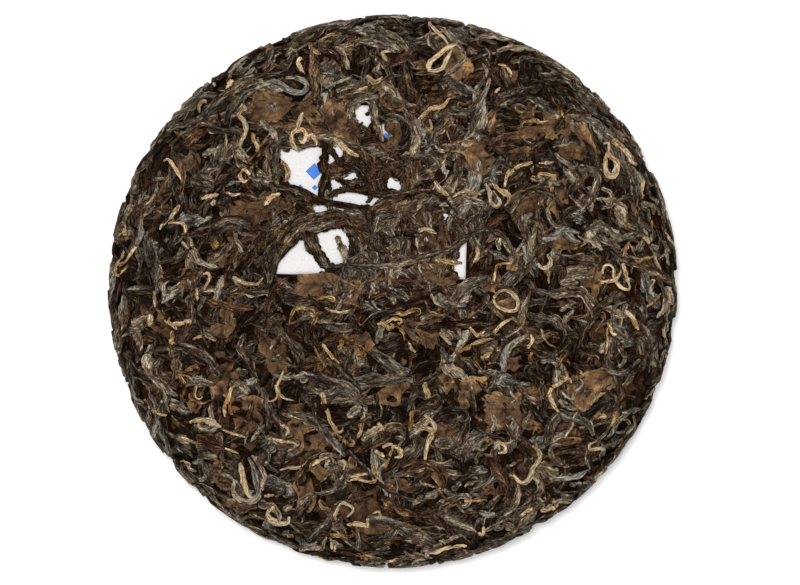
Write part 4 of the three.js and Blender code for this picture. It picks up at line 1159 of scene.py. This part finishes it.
GOLD_BY_EYE = [
    (1.6, 0.7, [(-30, 59), (-31.2, 56), (-32, 53.5), (-33.6, 52), (-33.8, 49.5), (-32.3, 46.9),
                (-31.2, 46.5)]),
    (1.5, 0.8, [(-32.3, 52.5), (-30.2, 53.3), (-29, 51.5), (-29.8, 49.2), (-31.2, 49.9)]),
    (1.6, 0.75, [(-29.2, 50.6), (-27, 51.5), (-25.6, 49.5), (-25.6, 48.2)]),
    (1.9, 0.75, [(-19.7, 50.3), (-17, 48.4), (-14.5, 45.9), (-11.5, 44.5)]),
    (1.6, 0.45, [(-37.1, 42.9), (-35.5, 41), (-35, 39), (-35.7, 36)]),
    (1.6, 0.8, [(8.1, 56.2), (10.8, 58.6), (13, 60.6), (16.1, 60.9), (18.9, 63.9)]),
    (0.9, 0.7, [(10.6, 52.3), (12.8, 53.9), (12.2, 56.7)]),
    (1.0, 0.75, [(23, 48.7), (24.9, 47.9), (26.9, 49)]),
    (1.6, 0.7, [(13.9, 36.1), (15, 34.2), (16.7, 32.5), (18.9, 31.4)]),
    (1.3, 0.75, [(20, 30.9), (22.2, 32.2), (26.1, 32.8), (29.4, 31.7)]),
    (1.5, 0.8, [(30.8, 35.3), (32.2, 32.5), (32.4, 29.5), (34.4, 27.8), (35.5, 29.5), (33.3, 32.8)]),
    (1.5, 0.75, [(34.5, 34), (37.5, 32.7), (38.8, 30.2), (37.1, 28)]),
    (1.6, 0.7, [(37.1, 34.4), (38.4, 38.7), (41.8, 41.2), (46.4, 42.5)]),
    (2.0, 0.75, [(71.1, 45.5), (74.5, 42), (73.2, 37.8), (71, 39.5), (70.8, 44.5)]),
    (2.2, 0.7, [(73.2, 49.7), (77, 46.3), (80, 42.5), (81.7, 43.3), (81.3, 49.3)]),
    (1.5, 0.75, [(-50, 60.4), (-51.2, 58.2), (-49.5, 56.1), (-49.1, 53.1), (-51.2, 48)]),
    (1.2, 0.85, [(-47.6, 38.5), (-49.5, 40), (-51, 38), (-49.6, 36), (-47.8, 37)]),
    (1.4, 0.75, [(-53.4, 69.7), (-55.5, 66.8)]),
    (1.8, 0.8, [(-23.4, -34.2), (-22.6, -38.8)]),
    (1.2, 0.75, [(-5.1, -43.9), (-3, -46.9)]),
    (1.2, 0.75, [(-23.4, -18), (-20.9, -21.4), (-17.9, -24.4)]),
    (1.8, 0.85, [(10.6, -41.4), (14, -45.6), (11.9, -50.3), (10.6, -56.3)]),
    (1.8, 0.85, [(46.6, -51.8), (48.7, -53.9), (48.7, -56.4), (46.6, -59.4), (45.7, -62.4), (44, -64.3),
                 (41.9, -63.7), (40.6, -62), (38.9, -61.5)]),
    (1.6, 0.8, [(57.6, -27.1), (58, -29.2), (55.9, -30.9), (52.9, -32.6), (52.1, -35.2), (53.4, -38.1),
                (55.1, -40.7)]),
    (1.8, 0.7, [(14.2, 10.2), (18, 9.4), (23, 9)]),
    (1.4, 0.75, [(28, 14.5), (28.2, 11), (26.6, 9)]),
    (1.5, 0.75, [(8.5, 19.6), (11, 20.3), (14.5, 18.8)]),
    (1.1, 0.8, [(-85.3, 14.3), (-88.7, 10.4), (-92.6, 7.9), (-93.6, 5.8), (-92.6, 4.7), (-90.4, 7),
                (-88.7, 9.6)]),
    (1.2, 0.75, [(-79.4, -0.6), (-79.2, -5.7)]),
    (2.0, 0.85, [(-80.7, -8.3), (-81.1, -12.1)]),
    (3.0, 0.4, [(-60.4, 15), (-57.6, 15.2)]),
    (1.0, 0.8, [(-63.2, 5.3), (-61.5, 5.5), (-61.1, 3.6), (-62.8, 0.2)]),
    (0.9, 0.75, [(-65.4, 0.7), (-64.9, -3.6)]),
    (1.2, 0.7, [(-53, 4.1), (-49.6, 2.4), (-45.4, 1.9), (-43.2, 4.1)]),
    (0.9, 0.8, [(33.5, 2.9), (34.4, 7.6), (35.7, 8.5), (39.5, 8.9)]),
    (1.4, 0.8, [(33.5, -2.6), (35.7, -0.3), (38.6, -0.5), (41.2, -3), (41.6, -5.6), (39.9, -7.1),
                (34.8, -5.6), (33.5, -3)]),
    (1.1, 0.85, [(69.7, 5.5), (70.1, 7.6), (71.8, 8.5), (73.5, 7.2), (73.5, 4.6), (74.8, 2.1),
                 (76.9, 0.2), (79, 0.4), (78.6, 2.1)]),
    (1.3, 0.8, [(76.5, 8.9), (77.7, 4.6), (79, 0.8)]),
    (0.9, 0.8, [(51.8, 7.6), (52, 2.1)]),
    (1.3, 0.75, [(40.3, -9.2), (36.1, -11.5), (32, -16.6)]),
    (1.4, 0.75, [(21.2, -20.9), (25, -19.2), (28.4, -17.5), (33.5, -16.2)]),
    (1.2, 0.8, [(15.7, -14.1), (17.4, -16.2), (19.5, -18.3)]),
    (1.2, 0.75, [(25.5, -12.4), (28, -14.9), (30.5, -13.7)]),
    (1.0, 0.75, [(45.9, -14.9), (46.3, -17.1), (44.2, -20)]),
    (1.6, 0.8, [(77.3, -6.9), (79.9, -9.4), (81.6, -13.2)]),
    (2.0, 0.95, [(-67.7, -44.2), (-65.6, -43.4), (-63.9, -43.2), (-61.3, -43.6), (-58.8, -44.9),
                 (-57.3, -45.5)]),
    (0.9, 0.85, [(-56.6, -46.6), (-54.1, -47.6), (-51.5, -48.3), (-48.6, -49.1)]),
    (0.7, 0.75, [(-55.8, -52.7), (-51.5, -54.4)]),
    (1.9, 0.9, [(-50.9, -57.6), (-50, -61.5), (-49.2, -65.3), (-48.1, -68.3), (-46.2, -68.9)]),
    (1.0, 0.9, [(-43, -68.7), (-39.6, -68.3)]),
    (2.2, 0.95, [(-39.6, -72.1), (-41.7, -74.2), (-40.5, -76.3), (-37.5, -77.6), (-34.9, -77.2),
                 (-34.5, -75.5)]),
    (1.1, 0.9, [(-40, -49.6), (-36.6, -50.4), (-33.2, -50.8), (-31.5, -51.9)]),
    (1.0, 0.85, [(-37.5, -44.9), (-35.8, -45.5), (-34.9, -47), (-35.6, -48.3)]),
    (0.9, 0.8, [(-38.3, -31.3), (-37.7, -34.3), (-36.2, -36), (-32.8, -36.8)]),
    (1.1, 0.9, [(-26.9, -58.5), (-23.9, -56.4), (-21.3, -55.5)]),
    (1.0, 0.85, [(-22.6, -58.9), (-21.1, -56.4)]),
    (1.2, 0.85, [(-3.4, -52.2), (-1.2, -51.3), (0.5, -51.8)]),
    (1.3, 0.95, [(-5.9, -53.7), (-3.8, -54.7), (-2.9, -55.6)]),
    (1.5, 0.85, [(0.7, -52.2), (2.6, -53.5), (2.4, -55.2), (0.5, -55.8)]),
    (1.0, 0.85, [(-18.2, -57.1), (-16.1, -57.3), (-16.5, -59.8)]),
    (1.1, 0.85, [(-14, -62.4), (-11.4, -61.5), (-8.5, -61.1)]),
    (1.1, 0.7, [(-14.8, -63.7), (-11.9, -62.8), (-8.9, -63.7), (-6.3, -63.7), (-5.1, -61.5),
                (-6.3, -60.3)]),
    (1.1, 0.9, [(-19.5, -75.2), (-17, -70.9), (-13.1, -73), (-15.3, -75.6)]),
    (1.6, 0.95, [(-15.3, -78.1), (-12.3, -77.9), (-8, -78.8)]),
    (1.0, 0.8, [(-8.5, -78.6), (-8.3, -76)]),
    (1.0, 0.85, [(-20.8, -82.4), (-20.6, -84.9), (-20.4, -87.5)]),
    (0.9, 0.85, [(-19.1, -84.9), (-19.7, -88.3)]),
    (1.2, 0.7, [(23.8, -70.1), (28.5, -70.1), (32.8, -70.3)]),
    (1.1, 0.9, [(28.1, -80.7), (29.8, -81.1), (30.2, -78.6)]),
    (1.8, 0.9, [(11.1, -89.6), (14.5, -87.5), (17.9, -86.6), (21.7, -86.2), (24.7, -85.6)]),
    (0.9, 0.75, [(-6.8, -74.3), (-4.6, -73.9), (-4.2, -76)]),
    (1.0, 0.95, [(33.8, -45), (35.9, -45.4)]),
    (1.0, 0.85, [(46.6, -62.4), (48.3, -63.7), (47.4, -64.5)]),
    (1.0, 0.85, [(67, -50.5), (65.3, -51.3), (65.7, -53), (69.1, -52.6), (70.8, -54.3), (71.7, -56.4)]),
    (1.2, 0.9, [(33.8, -53), (35.1, -50.9), (37.2, -51.8), (37.2, -53.9), (35.1, -54.3)]),
    (2.4, 0.5, [(73.8, -40.5), (73.6, -44)]),
    (2.4, 0.5, [(67, -42), (71, -42)]),
    (1.2, 0.8, [(42.7, -74.7), (45.3, -73.2), (47.4, -73)]),
    (1.3, 0.85, [(54.2, -70.9), (55.1, -73)]),
    (1.4, 0.85, [(9, 92), (12.4, 91.2), (12.4, 89), (14.5, 86.1), (17, 83.9), (18.3, 81.8)]),
    (1.6, 0.9, [(21.3, 81.8), (17.9, 80.5), (14.9, 78), (12.4, 75.9), (11.9, 73.7), (13.2, 72.9),
                (16.2, 73.7), (17.9, 76.7), (20, 80.5)]),
    (1.1, 0.9, [(-2, 76.3), (-3.6, 78.8), (-2.5, 79.4), (-0.8, 79.1)]),
    (2.0, 0.75, [(-8.5, 71.2), (-5.9, 69.1), (-3.4, 70.8)]),
    (1.0, 0.95, [(-11.4, 66.5), (-8.5, 67.6)]),
    (1.0, 0.85, [(35.7, 67.4), (34, 65.7)]),
    (1.2, 0.75, [(26.4, 88.2), (28.5, 86.1)]),
    (0.8, 0.8, [(-51, 60.5), (-50, 61.4), (-48.9, 60.3), (-50, 59.5)]),
    (1.0, 0.85, [(-60.2, 69.9), (-59.7, 68.2)]),
    (1.1, 0.8, [(-76.3, 42.9), (-75, 43.5), (-73.3, 41.8), (-71.2, 38.4), (-70.4, 36.3)]),
    (1.4, 0.95, [(-63.6, 30.5), (-61, 31.2), (-58, 31.8)]),
    (1.5, 0.85, [(-60.2, 28.2), (-59.3, 29.9)]),
    (1.0, 0.7, [(-55.5, 32.5), (-53.4, 31.6), (-50.4, 32)]),
    (1.8, 0.75, [(-42.7, 28.2), (-40.6, 30.8), (-37.6, 32)]),
    (1.1, 0.8, [(48.7, 42.3), (53.4, 42.5)]),
    (1.2, 0.75, [(83.6, 37.6), (83.1, 34.2), (84, 30.8)]),
    (0.9, 0.75, [(87, 23.6), (87.4, 20.2)]),
    (1.0, 0.85, [(83.1, 17.6), (85.7, 15.1)]),
    (1.0, 0.75, [(58.1, 17.6), (61, 15.9), (60.6, 13.4)]),
    (0.9, 0.8, [(70, 48.7), (71.7, 48.7), (71.7, 45.7)]),
]
dark_by_eye = Strips(steps=26, thickness=(1.1, 1.8), turns=(-0.4, 0.4))
rusty_by_eye = Strips(steps=24, thickness=(1.0, 1.5), turns=(-0.3, 0.3))
grey_by_eye = Strips(steps=26, thickness=(1.0, 1.7), turns=(-0.3, 0.3))
gold_by_eye = Strips(steps=18, thickness=(0.9, 1.4), turns=(-0.3, 0.3), ring=(6, 3))
face.spare = 0.0
for strips, darker, leaves in (
        (dark_by_eye, 0.1, DARK_BY_EYE), (rusty_by_eye, 0.1, RUSTY_BY_EYE),
        (grey_by_eye, 0.2, GREY_BY_EYE), (gold_by_eye, -0.2, GOLD_BY_EYE)):
    for width, tone, points in leaves:
        strips.lay(face, through(points, strips.steps), width, tone - darker * (1 - tone))
face.spare = 0.2
gold = Strips(
    steps=15, length=(4, 13), width=(0.7, 1.6), thickness=(0.6, 1.1), tone=(0.2, 1.0),
    turns=(-0.3, 0.3), hooks=0.6, bend=1.3, ring=(6, 3))
strew([gold], [1], face, count=95, inner=0, outer=86)
bits = Strips(
    steps=7, length=(2.5, 7), width=(0.8, 2.2), thickness=(0.5, 1.0), tone=(0.1, 0.85),
    turns=(-0.1, 0.1), hooks=0, ring=(5, 2))
strew([bits], [1], face, count=260, inner=0, outer=88)

# Buds keep a pale golden down, so they stay lighter and warmer than any leaf
GOLDEN_TIP = [(0.0, "#2a1c10"), (0.3, "#6b4f31"), (0.6, "#ab8752"), (0.85, "#d6b480"), (1.0, "#f0dbb2")]
golden_material = leaf_material("golden_bud", GOLDEN_TIP, 0.6, cool=(0.72, 0.73, 0.78, 1))
for name, strips, material in (
        ("dark_leaves_by_eye", dark_by_eye, dark_material),
        ("grey_leaves_by_eye", grey_by_eye, grey_material),
        ("rusty_leaves_by_eye", rusty_by_eye, rusty_material),
        ("golden_tips_by_eye", gold_by_eye, golden_material), ("golden_tips", gold, golden_material),
        ("leaf_bits", bits, grey_material)):
    add_piece(name, strips.mesh(name), material)

# The leaves of the rim and of the back
# The rim's leaves were turned along the cloth's wall by the press. Those of the back lie every way, and the
# knot of the cloth pressed them into a dimple in the middle.
rim_dark = Strips(
    steps=16, length=(10, 24), width=(2.2, 4.4), thickness=(1.1, 1.9), tone=(0.25, 0.7), ring=(7, 2))
rim_grey = Strips(
    steps=16, length=(8, 22), width=(1.4, 3.8), thickness=(1.0, 1.7), tone=(0.3, 0.85), ring=(7, 2))
rim_small = Strips(
    steps=10, length=(4, 11), width=(1.1, 2.4), thickness=(0.8, 1.4), tone=(0.4, 0.95),
    hooks=0.5, bend=1.1, ring=(5, 2))
rim_gold = Strips(
    steps=13, length=(4, 11), width=(0.7, 1.5), thickness=(0.6, 1.1), tone=(0.3, 1.0),
    turns=(-0.3, 0.3), hooks=0.6, bend=1.3, ring=(5, 2))
strew([rim_dark, rim_grey], [0.5, 0.5], face, count=340, inner=84, outer=114)
strew([rim_small], [1], face, count=110, inner=80, outer=104)
strew([rim_gold], [1], face, count=22, inner=82, outer=102)
back_dark = Strips(
    steps=12, length=(12, 26), width=(2.6, 4.8), thickness=(1.1, 1.9), tone=(0.2, 0.65), ring=(6, 2))
back_grey = Strips(
    steps=12, length=(9, 24), width=(1.6, 4.4), thickness=(1.0, 1.7), tone=(0.25, 0.8), ring=(6, 2))
back_gold = Strips(
    steps=13, length=(4, 13), width=(0.7, 1.6), thickness=(0.6, 1.1), tone=(0.2, 1.0),
    turns=(-0.3, 0.3), hooks=0.6, bend=1.3, ring=(5, 2))
back_opened = OpenLeaves()
strew([back_dark], [1], back, count=230, inner=0, outer=88)
strew_open(back_opened, back, count=32, reach=80)
strew([back_dark, back_grey], [0.4, 0.6], back, count=390, inner=0, outer=88)
strew([back_gold], [1], back, count=40, inner=0, outer=84)
for name, strips, material in (
        ("rim_dark_leaves", rim_dark, dark_material), ("rim_grey_leaves", rim_grey, grey_material),
        ("rim_small_leaves", rim_small, grey_material), ("rim_golden_tips", rim_gold, golden_material),
        ("back_dark_leaves", back_dark, dark_material), ("back_grey_leaves", back_grey, grey_material),
        ("back_golden_tips", back_gold, golden_material), ("back_open_leaves", back_opened, open_material)):
    add_piece(name, strips.mesh(name), material)

# The studio
# A pale table under soft light, with the camera straight above, as the photo was taken.
TABLE = 3  # metres from its middle to each side
floor_mesh = bpy.data.meshes.new("table")
floor_mesh.from_pydata(
    [(-TABLE, -TABLE, 0), (TABLE, -TABLE, 0), (TABLE, TABLE, 0), (-TABLE, TABLE, 0)], [], [(0, 1, 2, 3)])
floor = bpy.data.objects.new("table", floor_mesh)
bpy.context.scene.collection.objects.link(floor)
# Matt white board, so even that its grain hardly shows
floor_material, tree = new_material("matt_board")
grain = add(tree, "ShaderNodeTexNoise", {"Scale": 60.0, "Detail": 3.0})
tint = add(tree, "ShaderNodeValToRGB", {"Fac": grain.outputs[0]}, stops=[
    (0.3, "#fbfbfb"), (0.7, "#fdfdfd")])
shader = add(tree, "ShaderNodeBsdfPrincipled", {"Base Color": tint.outputs[0], "Roughness": 0.9})
add(tree, "ShaderNodeOutputMaterial", {"Surface": shader.outputs[0]})
floor_mesh.materials.append(floor_material)

ROOM_LIGHT = 0.36
world = bpy.data.worlds.new("soft_room")
world.use_nodes = True
world.node_tree.nodes["Background"].inputs["Color"].default_value = (1, 1, 1, 1)
world.node_tree.nodes["Background"].inputs["Strength"].default_value = ROOM_LIGHT
bpy.context.scene.world = world


def add_lamp(name, position, size, power):
    """A square soft light that faces the middle of the cake."""
    light = bpy.data.lights.new(name, "AREA")
    light.size = size
    light.energy = power
    lamp = bpy.data.objects.new(name, light)
    lamp.location = position
    x, y, z = position
    lamp.rotation_euler = (math.atan2(math.hypot(x, y), z), 0, math.atan2(x, -y))
    bpy.context.scene.collection.objects.link(lamp)


add_lamp("key_light", position=(-0.14, 0.2, 1.6), size=0.5, power=25)
add_lamp("fill_light", position=(0.5, -0.5, 1.5), size=1.0, power=6)

CAMERA_HEIGHT = 1.2  # metres
SENSOR_WIDTH = 36
PHOTO_WIDTH = 800  # pixels
PIXELS_PER_MM = 3.0
FACE_MIDDLE_AT = (393, 290)  # pixels from the photo's upper left corner
PHOTO_MIDDLE = (400, 292.5)
camera_data = bpy.data.cameras.new("camera")
camera_data.sensor_width = SENSOR_WIDTH
camera_data.lens = SENSOR_WIDTH * (CAMERA_HEIGHT - GIRTH_HEIGHT * MM) / (PHOTO_WIDTH / PIXELS_PER_MM * MM)
camera = bpy.data.objects.new("camera", camera_data)
camera.location = (
    (FACE_MIDDLE[0] + (PHOTO_MIDDLE[0] - FACE_MIDDLE_AT[0]) / PIXELS_PER_MM) * MM,
    (FACE_MIDDLE[1] + (FACE_MIDDLE_AT[1] - PHOTO_MIDDLE[1]) / PIXELS_PER_MM) * MM,
    CAMERA_HEIGHT)
bpy.context.scene.collection.objects.link(camera)
bpy.context.scene.camera = camera
bpy.context.scene.view_settings.view_transform = "Standard"
